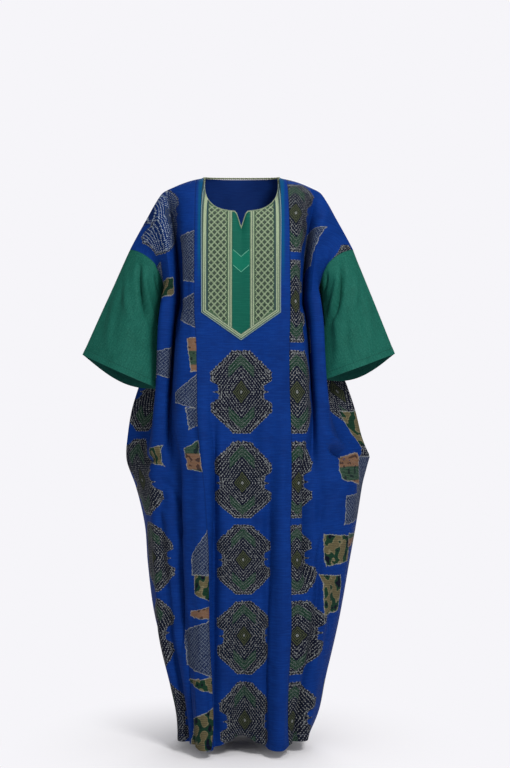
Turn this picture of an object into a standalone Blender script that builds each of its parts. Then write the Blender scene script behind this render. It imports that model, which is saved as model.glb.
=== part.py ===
"""Grand boubou robe: a wide, worn robe of printed cloth with green sleeves and an embroidered neck placket.

The robe is a hollow shell of cloth walls. Metres, +Z up, the front faces -Y, the wearer's right side is at -X.
The origin lies between the two neck points of the shoulders, where the wearer's shoulders carry the robe.
Each piece is a wall: a grid of points on the cloth's inner face, moved out along the normals to its outer face.
"""
import math
from collections import namedtuple

import bpy
import numpy as np

COLLECTION = "grand_boubou_robe"

# Cloth and trims
CLOTH = 0.002
SEAM_GAP = 0.0003
PLACKET_CLOTH = 0.0012
BRAID_HEIGHT = 0.0016
EDGING_WIDTH = 0.005
EDGING_HEIGHT = 0.004
EDGING_SIDES = 8

# Neck
NECK_HALF_WIDTH = 0.100
NECK_DEPTH = 0.097
NECK_FORWARD = 0.083
NECK_SQUARENESS = 2.8
NECK_EASE = 0.7
NOTCH_DEPTH = 0.043
NOTCH_HALF_WIDTH = 0.019
NOTCH_FORWARD = 0.010
BACK_NECK_REACH = 0.062
BACK_NECK_RISE = 0.006
BACK_NECK_SQUARENESS = 2.4

# Front centre panel and the placket on it, as distances from the centre line
PANEL_HALF_WIDTH = 0.116
PLACKET_HALF_WIDTH = NECK_HALF_WIDTH
BRAID_OUTER_WIDTH = 0.015
STRIP_HALF_WIDTH = 0.022
BRAID_INNER_WIDTH = 0.013
PLACKET_TIP_Z = -0.424
PLACKET_CORNER_Z = -0.354
BRAID_BOTTOM_RISE = 0.020

# Armhole, from the shoulder fold down to the underarm point
SHOULDER_END = (0.288, 0.0, -0.185)
UNDERARM = (0.202, 0.014, -0.280)
ARMHOLE_FRONT_REACH = 0.046
ARMHOLE_BACK_REACH = 0.036
# Above one, the armhole drops late; below one, its bulge is fuller.
ARMHOLE_DROP = 1.5
ARMHOLE_BULGE = 0.8
# How closely the armhole's own curve is kept to the armhole: a higher power fades sooner.
ARMHOLE_GRIP = {"front": 3.0, "back": 1.6}

# How the cloth leaves the shoulder fold: a lower roll is rounder, a higher curve reaches the chest sooner.
SHOULDER_ROLL = 0.58
CHEST_CURVE = 2.4

# Hem
HEM_Z = -1.446
HEM_CENTRE_LIFT = 0.021
HEM_CENTRE_SPREAD = 0.055

# Grid counts
YOKE_ROWS = 8
YOKE_CROWDING = 1.4
SKIRT_ROWS = 15
# Columns between the places of the front: seam, chest, valley, inner and outer crest, hollow, tip.
SPAN_COLUMNS = [2, 2, 2, 1, 2, 2]
SIDE_COLUMNS = sum(SPAN_COLUMNS)
# Where the chest lies close to the seam, it keeps at least this share of the way from seam to valley.
CHEST_SHARE = 0.3
# Above one, the columns of the back stand wider apart towards the side.
BACK_SPACING = 1.25
SLEEVE_ROWS = 10
SECTION_SAMPLES = 600
RIDGE_SAMPLES = 200
LEVEL_STEP = 0.01

# Smoothing of the outer yoke: how often, from which share of the side, and how far each time.
RELAXING_PASSES = {"front": 60, "back": 5}
RELAXED_FROM = {"front": 0.55, "back": 0.10}
RELAXING_STEP = 0.8
# The most that a wall may lengthen where two walls meet at a sharp seam, in thicknesses.
MITRE_LIMIT = 2.2

# Half the breadth of the folded crest that stands beside each valley of the front.
CREST_HALF_WIDTH = 0.008
# The back's station between its centre and its rear corner: its share of the way, and how far in it lies.
BACK_STATION_SHARE = 0.6
BACK_STATION_INSET = 0.006
# Folds die out over this distance before the tip, and over this share of their height at each end.
FOLD_SIDE_FADE = 0.05
FOLD_END_FADE = 0.25

# Each section of the body: z, then the places that the cloth passes on its way from the centre front
# round to the centre back. x is measured away from the centre line, y is negative in front.
# left_extra is how much farther the wearer's left side reaches at the hollow and the tip.
Section = namedtuple(
    "Section",
    "z front_y chest_x chest_y valley_x valley_y crest_x crest_y hollow_x hollow_y tip_x tip_y "
    "rear_x rear_y back_y left_extra",
)
SECTIONS = [
    Section(-0.280, -0.123, 0.146, -0.112, 0.168, -0.066, 0.198, -0.088, 0.193, -0.032, 0.202, 0.014,
            0.176, 0.082, 0.105, 0.000),
    Section(-0.370, -0.127, 0.148, -0.116, 0.168, -0.062, 0.198, -0.092, 0.192, -0.018, 0.214, 0.036,
            0.178, 0.092, 0.112, 0.000),
    Section(-0.460, -0.128, 0.150, -0.118, 0.167, -0.064, 0.197, -0.095, 0.192, -0.004, 0.237, 0.052,
            0.180, 0.100, 0.118, 0.003),
    Section(-0.540, -0.129, 0.152, -0.120, 0.168, -0.073, 0.196, -0.098, 0.204, 0.004, 0.268, 0.053,
            0.190, 0.105, 0.122, 0.007),
    Section(-0.600, -0.130, 0.154, -0.121, 0.170, -0.080, 0.197, -0.098, 0.220, 0.004, 0.286, 0.052,
            0.195, 0.110, 0.126, 0.009),
    Section(-0.660, -0.131, 0.156, -0.122, 0.174, -0.086, 0.199, -0.097, 0.238, 0.000, 0.296, 0.048,
            0.200, 0.112, 0.128, 0.013),
    Section(-0.730, -0.132, 0.158, -0.124, 0.178, -0.094, 0.203, -0.096, 0.256, -0.018, 0.302, 0.038,
            0.200, 0.114, 0.130, 0.022),
    Section(-0.800, -0.133, 0.160, -0.126, 0.182, -0.104, 0.209, -0.091, 0.246, -0.050, 0.272, 0.026,
            0.200, 0.115, 0.132, 0.035),
    Section(-0.900, -0.135, 0.158, -0.130, 0.184, -0.106, 0.208, -0.088, 0.234, -0.050, 0.251, 0.020,
            0.190, 0.117, 0.134, 0.037),
    Section(-1.000, -0.136, 0.150, -0.134, 0.180, -0.110, 0.204, -0.088, 0.230, -0.048, 0.246, 0.018,
            0.185, 0.118, 0.135, 0.024),
    Section(-1.150, -0.134, 0.128, -0.140, 0.165, -0.116, 0.192, -0.090, 0.216, -0.048, 0.231, 0.018,
            0.175, 0.120, 0.138, 0.010),
    Section(-1.300, -0.122, 0.113, -0.145, 0.145, -0.118, 0.168, -0.090, 0.185, -0.048, 0.197, 0.016,
            0.155, 0.122, 0.140, 0.009),
    Section(-1.446, -0.108, 0.100, -0.148, 0.130, -0.120, 0.150, -0.092, 0.168, -0.048, 0.176, 0.014,
            0.130, 0.122, 0.142, -0.006),
]

# The shoulder fold from the neck point to the top of the armhole.
Ridge = namedtuple("Ridge", "x z")
RIDGE = [
    Ridge(0.100, 0.000), Ridge(0.135, -0.008), Ridge(0.174, -0.023), Ridge(0.203, -0.039),
    Ridge(0.222, -0.065), Ridge(0.242, -0.101), Ridge(0.268, -0.148), Ridge(0.288, -0.185),
]

# The sleeves hang from the armholes; their cuffs are flattened rings from a top corner to a bottom corner.
Cuff = namedtuple("Cuff", "side top bottom front_reach back_reach back_drop underarm_pull")
CUFFS = [
    Cuff(-1, (0.411, 0.000, -0.458), (0.215, -0.040, -0.545), 0.045, 0.050, 0.028, (0.248, -0.006, -0.326)),
    Cuff(1, (0.397, 0.000, -0.455), (0.215, -0.040, -0.522), 0.045, 0.050, 0.028, (0.248, -0.006, -0.326)),
]

# Hanging folds: where each runs, as a distance from the centre line along the cloth, at its top and its
# foot; its half width, its top and foot, and how far it stands out (or in, where negative).
Fold = namedtuple("Fold", "face side place_top place_foot width z_top z_foot depth")
FOLDS = [
    Fold("front", -1, 0.100, 0.100, 0.020, -0.550, -1.600, 0.009),
    Fold("front", -1, 0.058, 0.062, 0.016, -0.800, -1.600, -0.009),
    Fold("front", -1, 0.182, 0.168, 0.015, -0.780, -1.180, -0.030),
    Fold("front", -1, 0.235, 0.205, 0.018, -0.860, -1.600, 0.008),
    Fold("front", 1, 0.105, 0.104, 0.020, -0.600, -1.600, 0.008),
    Fold("front", 1, 0.066, 0.060, 0.015, -0.760, -1.600, -0.007),
    Fold("front", 1, 0.176, 0.160, 0.016, -0.820, -1.240, -0.020),
    Fold("front", 1, 0.240, 0.210, 0.020, -0.900, -1.600, 0.008),
    Fold("back", -1, 0.030, 0.028, 0.022, -0.380, -1.600, -0.012),
    Fold("back", -1, 0.105, 0.090, 0.024, -0.300, -1.600, 0.011),
    Fold("back", -1, 0.165, 0.140, 0.020, -0.450, -1.600, -0.012),
    Fold("back", -1, 0.225, 0.190, 0.022, -0.620, -1.600, 0.010),
    Fold("back", 1, 0.048, 0.050, 0.024, -0.340, -1.600, 0.012),
    Fold("back", 1, 0.118, 0.104, 0.021, -0.420, -1.600, -0.012),
    Fold("back", 1, 0.175, 0.155, 0.022, -0.360, -1.600, 0.010),
    Fold("back", 1, 0.240, 0.200, 0.024, -0.700, -1.600, -0.009),
]

# Columns of the front centre panel: they follow the notch, the placket's strips and its braids.
CENTRE_COLUMNS = [
    0.0, 0.006, 0.012, STRIP_HALF_WIDTH, STRIP_HALF_WIDTH + BRAID_INNER_WIDTH, 0.052, 0.069,
    PLACKET_HALF_WIDTH - BRAID_OUTER_WIDTH, 0.0945, PLACKET_HALF_WIDTH, PANEL_HALF_WIDTH,
]

PRINT_BLUE = (0.012, 0.050, 0.235)
SLEEVE_GREEN = (0.012, 0.100, 0.075)
PLACKET_GREEN = (0.010, 0.105, 0.070)
BRAID_GOLD = (0.200, 0.230, 0.175)


def hermite(keys, values, at):
    """Smooth curve through values at falling or rising keys, read at other keys."""
    keys = np.asarray(keys, float)
    values = np.asarray(values, float)
    if keys[0] > keys[-1]:
        keys, values = keys[::-1], values[::-1]
    slopes = np.gradient(values, keys, axis=0)
    at = np.clip(np.atleast_1d(at), keys[0], keys[-1])
    i = np.clip(np.searchsorted(keys, at) - 1, 0, len(keys) - 2)
    span = keys[i + 1] - keys[i]
    t = (at - keys[i]) / span
    if values.ndim > 1:
        span, t = span[:, None], t[:, None]
    return (
        (2 * t**3 - 3 * t**2 + 1) * values[i]
        + (t**3 - 2 * t**2 + t) * span * slopes[i]
        + (3 * t**2 - 2 * t**3) * values[i + 1]
        + (t**3 - t**2) * span * slopes[i + 1]
    )


def arc_length(points):
    """Distance along a polyline at each of its points."""
    return np.concatenate([[0.0], np.cumsum(np.linalg.norm(np.diff(points, axis=0), axis=1))])


def unit(vectors):
    return vectors / np.maximum(np.linalg.norm(vectors, axis=-1, keepdims=True), 1e-12)


def section_curve(row, side, face):
    """One half of a section, from its centre to its tip, as a dense polyline in x and y, and the numbers
    of its points where it passes its places."""
    extra = row.left_extra if side > 0 else 0.0
    tip = (row.tip_x + extra, row.tip_y)
    if face == "front":
        half = [
            (0.0, row.front_y), (row.chest_x, row.chest_y), (row.valley_x, row.valley_y),
            (row.crest_x - CREST_HALF_WIDTH, row.crest_y), (row.crest_x + CREST_HALF_WIDTH, row.crest_y),
            (row.hollow_x + extra, row.hollow_y), tip,
        ]
    else:
        between = (row.rear_x * BACK_STATION_SHARE, row.back_y - BACK_STATION_INSET)
        half = [(0.0, row.back_y), between, (row.rear_x, row.rear_y), tip]
    mirror = [(-half[1][0], half[1][1])]
    stations = np.array(mirror + half)
    keys = arc_length(stations)
    dense = hermite(keys, stations, np.linspace(keys[1], keys[-1], SECTION_SAMPLES))
    passed = np.rint((keys[1:] - keys[1]) / (keys[-1] - keys[1]) * (SECTION_SAMPLES - 1)).astype(int)
    return dense, passed


def fold_window(z, top, foot):
    """A fold grows in below its top and dies out above its foot."""
    run = FOLD_END_FADE * (top - foot)
    rise = np.clip((top - z) / run, 0, 1)
    fall = np.clip((z - foot) / run, 0, 1)
    return (rise * rise * (3 - 2 * rise)) * (fall * fall * (3 - 2 * fall))


def level_points(z, side, face, places):
    """x and y of the cloth at height z. Places are signed: positive ones are distances from the centre
    line along the cloth, and negative ones are shares of the way from the panel's seam to the tip."""
    row = Section(*[float(v) for v in hermite([s.z for s in SECTIONS], SECTIONS, z)[0]])
    curve, passed = section_curve(row, side, face)
    along = arc_length(curve)
    tangent = unit(np.gradient(curve, along, axis=0))
    normal = np.stack([-tangent[:, 1], tangent[:, 0]], axis=1)
    if face == "front":
        normal = -normal
    for fold in FOLDS:
        if fold.face != face or fold.side != side:
            continue
        share = np.clip((fold.z_top - z) / (fold.z_top - HEM_Z), 0, 1)
        place = fold.place_top + (fold.place_foot - fold.place_top) * share
        bump = fold.depth * fold_window(z, fold.z_top, fold.z_foot)
        fade = np.clip((along[-1] - along) / FOLD_SIDE_FADE, 0, 1)
        curve = curve + normal * (bump * fade * np.exp(-(((along - place) / fold.width) ** 2)))[:, None]
    along = arc_length(curve)
    shares, marks, power = [0.0, 1.0], [PANEL_HALF_WIDTH, along[-1]], BACK_SPACING
    if face == "front":
        marks = np.concatenate([[PANEL_HALF_WIDTH], along[passed[1:]]])
        marks[1] = max(marks[1], marks[0] + CHEST_SHARE * (marks[2] - marks[0]))
        shares, power = np.cumsum([0] + SPAN_COLUMNS) / SIDE_COLUMNS, 1.0
    at = np.where(places >= 0, places, np.interp((-places * (places < 0)) ** power, shares, marks))
    return np.stack([np.interp(at, along, curve[:, k]) for k in range(2)], axis=1), at


def column_places():
    """Columns of one half, from the centre to the tip: distances first, then shares past the seam."""
    shares = [-(k + 1) / SIDE_COLUMNS for k in range(SIDE_COLUMNS)]
    return np.array(CENTRE_COLUMNS + shares)


def ridge_curve():
    """The shoulder fold as a dense polyline in x and z, and the distance along it at each point."""
    ridge = np.array(RIDGE)
    keys = arc_length(ridge)
    dense = hermite(keys, ridge, np.linspace(0, keys[-1], RIDGE_SAMPLES))
    return dense, arc_length(dense)


def ridge_point(distance):
    """A point on the shoulder fold, by its distance along the cloth from the centre line."""
    dense, along = ridge_curve()
    at = np.clip(distance - NECK_HALF_WIDTH, 0, along[-1])
    return np.array([np.interp(at, along, dense[:, 0]), 0.0, np.interp(at, along, dense[:, 1])])


def ridge_length():
    return ridge_curve()[1][-1]


def neck_point(x, face):
    """A point on the neckline at distance x from the centre line."""
    share = min(x / NECK_HALF_WIDTH, 1.0)
    if face == "back":
        bow = (1 - share**BACK_NECK_SQUARENESS) ** (1 / BACK_NECK_SQUARENESS)
        return np.array([x, BACK_NECK_REACH * bow, BACK_NECK_RISE * bow])
    bow = (1 - share**NECK_SQUARENESS) ** (1 / NECK_SQUARENESS)
    notch = 0.5 + 0.5 * math.cos(math.pi * min(x / NOTCH_HALF_WIDTH, 1.0))
    forward = NECK_FORWARD * bow**NECK_EASE + NOTCH_FORWARD * notch
    return np.array([x, -forward, -NECK_DEPTH * bow - NOTCH_DEPTH * notch])


def top_point(place, face):
    """Where a column starts: on the neckline, or on the shoulder fold beyond it."""
    if 0 <= place < NECK_HALF_WIDTH:
        return neck_point(place, face)
    reach = NECK_HALF_WIDTH + ridge_length()
    distance = place if place >= 0 else PANEL_HALF_WIDTH - place * (reach - PANEL_HALF_WIDTH)
    return ridge_point(distance)


def armhole_point(q, face):
    """The armhole seam from the shoulder fold (q = 0) to the underarm point (q = 1)."""
    top, under = np.array(SHOULDER_END), np.array(UNDERARM)
    swing = math.sin(math.pi * q / 2)
    bulge = math.sin(math.pi * q) ** ARMHOLE_BULGE if 0 < q < 1 else 0.0
    reach = -ARMHOLE_FRONT_REACH if face == "front" else ARMHOLE_BACK_REACH
    x = top[0] + (under[0] - top[0]) * swing
    y = reach * bulge + under[1] * q
    z = top[2] + (under[2] - top[2]) * q**ARMHOLE_DROP
    return np.array([x, y, z])


def yoke_foot_z(place):
    """Height of the yoke's lowest row: the placket's pointed foot at the centre, the underarm at the side."""
    if place >= 0:
        share = min(place / PLACKET_HALF_WIDTH, 1.0)
        return PLACKET_TIP_Z + (PLACKET_CORNER_Z - PLACKET_TIP_Z) * share
    return PLACKET_CORNER_Z + (UNDERARM[2] - PLACKET_CORNER_Z) * -place


def ease(q):
    """How far the cloth has moved from the shoulder fold to the chest when it has fallen by q."""
    return (1 - (1 - q) ** CHEST_CURVE) ** SHOULDER_ROLL


def eased_back(move):
    """The fall by which the cloth has made a given share of its move to the chest."""
    return 1 - (1 - move ** (1 / SHOULDER_ROLL)) ** (1 / CHEST_CURVE)


def hem_lift(distance):
    """The front hem hangs higher between its two foremost folds."""
    return HEM_CENTRE_LIFT * math.exp(-((distance / HEM_CENTRE_SPREAD) ** 2))


class Half:
    """One half of the front or back, from which points are read by column and by fall."""

    def __init__(self, side, face):
        self.side, self.face = side, face
        self.places = column_places()
        self.z = np.arange(UNDERARM[2], HEM_Z - LEVEL_STEP, -LEVEL_STEP)
        found = [level_points(z, side, face, self.places) for z in self.z]
        self.xy = np.array([f[0] for f in found])
        self.hem_along = found[-1][1]
        reach = NECK_HALF_WIDTH + ridge_length()
        self.across = np.where(
            self.places >= 0, self.places, PANEL_HALF_WIDTH - self.places * (reach - PANEL_HALF_WIDTH)
        ) / reach
        self.tops = [top_point(p, face) for p in self.places]
        self.feet = [self.skirt_point(c, yoke_foot_z(p)) for c, p in enumerate(self.places)]

    def skirt_point(self, column, z):
        x = np.interp(-z, -self.z, self.xy[:, column, 0])
        y = np.interp(-z, -self.z, self.xy[:, column, 1])
        return np.array([x, y, z])

    def yoke_point(self, column, q):
        """The yoke spans the shoulder, the armhole and its foot row."""
        fall = np.array([ease(q), ease(q), q])
        top, foot = self.tops[column], self.feet[column]
        point = top + (foot - top) * fall
        if self.face == "back":
            begun = eased_back(top[1] / foot[1])
            point[1] = foot[1] * ease(begun + (1 - begun) * q)
        plain_edge = self.tops[-1] + (self.feet[-1] - self.tops[-1]) * fall
        return point + (armhole_point(q, self.face) - plain_edge) * self.across[column] ** ARMHOLE_GRIP[self.face]

    def grid(self):
        """Inner face: rows from the top to the hem, columns from the centre to the side."""
        columns = range(len(self.places))
        drops = [self.tops[c][2] - self.feet[c][2] for c in columns]
        rows = []
        for j in range(YOKE_ROWS):
            share = (j / YOKE_ROWS) ** YOKE_CROWDING
            rows.append([self.yoke_point(c, share * (1 - BRAID_BOTTOM_RISE / drops[c])) for c in columns])
        rows.append([self.yoke_point(c, 1 - BRAID_BOTTOM_RISE / drops[c]) for c in columns])
        for j in range(SKIRT_ROWS + 1):
            row = []
            for c in columns:
                lift = hem_lift(self.hem_along[c]) if self.face == "front" else 0.0
                fall = (HEM_Z + lift - self.feet[c][2]) * j / SKIRT_ROWS
                row.append(self.skirt_point(c, self.feet[c][2] + fall))
            rows.append(row)
        grid = np.array(rows)
        grid[:, :, 0] *= self.side
        return grid


def whole_grid(face):
    """Both halves side by side, from the wearer's right side to the left one."""
    right, left = Half(-1, face).grid(), Half(1, face).grid()
    return np.concatenate([right[:, ::-1], left[:, 1:]], axis=1)


def relaxed(grid, foot_row, face):
    """The grid with the outer part of its yoke smoothed between the shoulder, the armhole and the foot."""
    out = grid.copy()
    half = grid.shape[1] // 2
    share = (np.abs(np.arange(-half, half + 1)) - half) / SIDE_COLUMNS + 1
    start = RELAXED_FROM[face]
    freedom = np.clip((share - start) / (1 - start), 0, 1)[1:-1, None]
    for _ in range(RELAXING_PASSES[face]):
        above, below = out[: foot_row - 1, 1:-1], out[2 : foot_row + 1, 1:-1]
        beside = out[1:foot_row, :-2] + out[1:foot_row, 2:]
        pull = (above + below + beside) / 4 - out[1:foot_row, 1:-1]
        out[1:foot_row, 1:-1] += pull * RELAXING_STEP * freedom
    return out


def summed_normals(grid, ring=False):
    """At each point of a grid, the sum of the normals of the cells round it, in the direction of rows
    cross columns."""
    right = np.roll(grid, -1, axis=1) if ring else grid[:, 1:]
    left = grid if ring else grid[:, :-1]
    cell = np.cross(right[1:] - left[:-1], right[:-1] - left[1:])
    out = np.zeros_like(grid)
    for rows in (slice(None, -1), slice(1, None)):
        if ring:
            out[rows] += cell + np.roll(cell, 1, axis=1)
        else:
            out[rows, :-1] += cell
            out[rows, 1:] += cell
    return out


def trimmed(grid, normals, rows=(), columns=(), ring=False):
    """The grid with the named outer rows and columns drawn in by half the seam gap, square to the seam."""
    out = grid.copy()
    for seam, across in [((row,), 0) for row in rows] + [((slice(None), column), 1) for column in columns]:
        inner = {0: 1, -1: -2}[seam[-1]]
        line = grid[seam]
        inward = grid[seam[:-1] + (inner,)] - line
        if ring:
            along = unit(np.roll(line, -1, axis=0) - np.roll(line, 1, axis=0))
        else:
            along = unit(np.gradient(line, axis=0))
            along[[0, -1]] = 0.0
        for aside in (unit(normals[seam]), along):
            inward = inward - aside * np.sum(inward * aside, axis=1, keepdims=True)
        out[seam] += unit(inward) * SEAM_GAP / 2
    return out


def plain_material(name, colour, roughness=0.85):
    material = bpy.data.materials.new(name)
    material.use_nodes = True
    shader = material.node_tree.nodes["Principled BSDF"]
    shader.inputs["Base Color"].default_value = (*colour, 1.0)
    shader.inputs["Roughness"].default_value = roughness
    shader.inputs["Metallic"].default_value = 0.0
    material.diffuse_color = (*colour, 1.0)
    return material


def add_solid(collection, name, vertices, faces, material):
    mesh = bpy.data.meshes.new(name)
    mesh.from_pydata([tuple(v) for v in vertices], [], faces)
    mesh.validate()
    mesh.materials.append(material)
    for polygon in mesh.polygons:
        polygon.use_smooth = True
    solid = bpy.data.objects.new(name, mesh)
    collection.objects.link(solid)
    return solid


def wall_solid(collection, name, grid, normals, thickness, material, lift=0.0, cells=None, ring=False):
    """A closed wall over the chosen cells of a grid: an inner face, an outer face and the edges between."""
    rows, columns = grid.shape[:2]
    spans = columns if ring else columns - 1
    if cells is None:
        cells = np.ones((rows - 1, spans), bool)
    inner, outer = grid + normals * lift, grid + normals * (lift + thickness)
    number, vertices, faces, edges = {}, [], [], {}

    def vertex(layer, j, c):
        key = (layer, j, c % columns)
        if key not in number:
            number[key] = len(vertices)
            vertices.append((outer if layer else inner)[j, c % columns])
        return number[key]

    for j in range(rows - 1):
        for c in range(spans):
            if not cells[j, c]:
                continue
            corners = [(j, c), (j + 1, c), (j + 1, c + 1), (j, c + 1)]
            start = 0 if c * 2 < spans else 1
            ordered = corners[start:] + corners[:start]
            for corner in (ordered[:3], [ordered[0], ordered[2], ordered[3]]):
                faces.append([vertex(1, *point) for point in corner])
                faces.append([vertex(0, *point) for point in reversed(corner)])
            for a, b in zip(corners, corners[1:] + corners[:1]):
                edges[((a[0], a[1] % columns), (b[0], b[1] % columns))] = (a, b)
    for (start, end), (a, b) in edges.items():
        if (end, start) in edges:
            continue
        over_b, over_a, under_a, under_b = vertex(1, *b), vertex(1, *a), vertex(0, *a), vertex(0, *b)
        if grid[start][2] > grid[end][2]:
            faces += [[over_b, over_a, under_a], [over_b, under_a, under_b]]
        else:
            faces += [[over_a, under_a, under_b], [over_b, over_a, under_b]]
    return add_solid(collection, name, vertices, faces, material)


def sleeve_grid(cuff, front_edge, back_edge):
    """Inner face of a sleeve: rows from the armhole to the cuff, a ring of columns from the shoulder fold
    down the front to the underarm and up the back."""
    root = np.concatenate([front_edge, back_edge[-2:0:-1]])
    count = len(front_edge) - 1
    top = np.array(cuff.top) * (cuff.side, 1, 1)
    bottom = np.array(cuff.bottom) * (cuff.side, 1, 1)
    pull = np.array(cuff.underarm_pull) * (cuff.side, 1, 1)
    fold_run = arc_length(front_edge)
    rings = []
    for k in range(len(root)):
        front = k <= count
        step = k if front else 2 * count - k
        q = fold_run[step] / fold_run[-1]
        bow = math.sin(math.pi * q)
        reach = -cuff.front_reach if front else cuff.back_reach
        end = top + (bottom - top) * q + np.array([0.0, reach * bow, 0.0 if front else -cuff.back_drop * bow])
        middle = (root[k] + end) / 2
        underarm_middle = (front_edge[-1] + bottom) / 2
        control = middle + (pull - underarm_middle) * q**2
        w = (np.arange(SLEEVE_ROWS + 1) / SLEEVE_ROWS)[:, None]
        rings.append((1 - w) ** 2 * root[k] + 2 * w * (1 - w) * control + w**2 * end)
    return np.array(rings).transpose(1, 0, 2)


def edging_solid(collection, name, path, across, up, material):
    """An oval cord along a closed path; across lies in the cloth, and up stands out of it."""
    rings = []
    for k in range(EDGING_SIDES):
        angle = 2 * math.pi * (k + 0.5) / EDGING_SIDES
        rings.append(
            path
            + across * (EDGING_WIDTH / 2 * math.cos(angle))
            + up * (EDGING_HEIGHT / 2 * math.sin(angle))
        )
    count = len(path)
    vertices = np.concatenate(rings)
    faces = []
    for k in range(EDGING_SIDES):
        below, above = k * count, (k + 1) % EDGING_SIDES * count
        for i in range(count):
            n = (i + 1) % count
            faces.append([below + i, above + i, above + n, below + n])
    return add_solid(collection, name, vertices, faces, material)


def neck_path(front, front_normals, back, back_normals, columns):
    """The closed line of the neck edge, moved into the neck opening by half a cord."""
    line = np.concatenate([front[0, columns], back[0, columns][-2:0:-1]])
    up = np.concatenate([front_normals[0, columns], back_normals[0, columns][-2:0:-1]])
    before, after = unit(line - np.roll(line, 1, axis=0)), unit(np.roll(line, -1, axis=0) - line)
    along = unit(before + after)
    across = unit(np.cross(up, along))
    half_turn = np.clip(np.sum(before * along, axis=1), 0.5, 1.0)[:, None]
    away = EDGING_WIDTH / 2 + 3 * SEAM_GAP
    return line + across * away / half_turn, across, up


def mitred(*walls):
    """The vectors along a seam that stand one thickness out of each of the walls that meet there."""
    stack = unit(np.stack(walls, axis=-2))
    vectors = np.linalg.pinv(stack, rcond=0.001).sum(axis=-1)
    length = np.linalg.norm(vectors, axis=-1, keepdims=True)
    return vectors * np.minimum(1.0, MITRE_LIMIT / length)


def joined_normals(front, back, sleeves, half, neck, foot_row):
    """Outward normals of the four tubes of cloth, shared where two or three of them meet at a seam."""
    front_sum, back_sum = summed_normals(front), -summed_normals(back)
    front_normals, back_normals, sleeve_normals = unit(front_sum), unit(back_sum), {}
    beyond_neck = np.abs(np.arange(-half, half + 1)) >= neck
    ridge = mitred(front_sum[0, beyond_neck], back_sum[0, beyond_neck])
    front_normals[0, beyond_neck] = ridge
    back_normals[0, beyond_neck] = ridge
    for side, grid in sleeves.items():
        column = 0 if side < 0 else -1
        front_edge, back_edge = front_sum[:, column], back_sum[:, column]
        side_seam = mitred(front_edge, back_edge)
        front_normals[foot_row:, column] = side_seam[foot_row:]
        back_normals[foot_row:, column] = side_seam[foot_row:]
        sleeve_sum = summed_normals(grid, ring=True) * -side
        body = np.concatenate([front_edge[: foot_row + 1], back_edge[1:foot_row][::-1]])
        armhole = mitred(body, sleeve_sum[0])
        ends = [0, foot_row]
        armhole[ends] = mitred(front_edge[ends], back_edge[ends], sleeve_sum[0, ends])
        front_normals[: foot_row + 1, column] = armhole[: foot_row + 1]
        back_normals[1:foot_row, column] = armhole[foot_row + 1 :][::-1]
        back_normals[ends, column] = armhole[ends]
        sleeve_normals[side] = unit(sleeve_sum)
        sleeve_normals[side][0] = armhole
    return front_normals, back_normals, sleeve_normals


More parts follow.
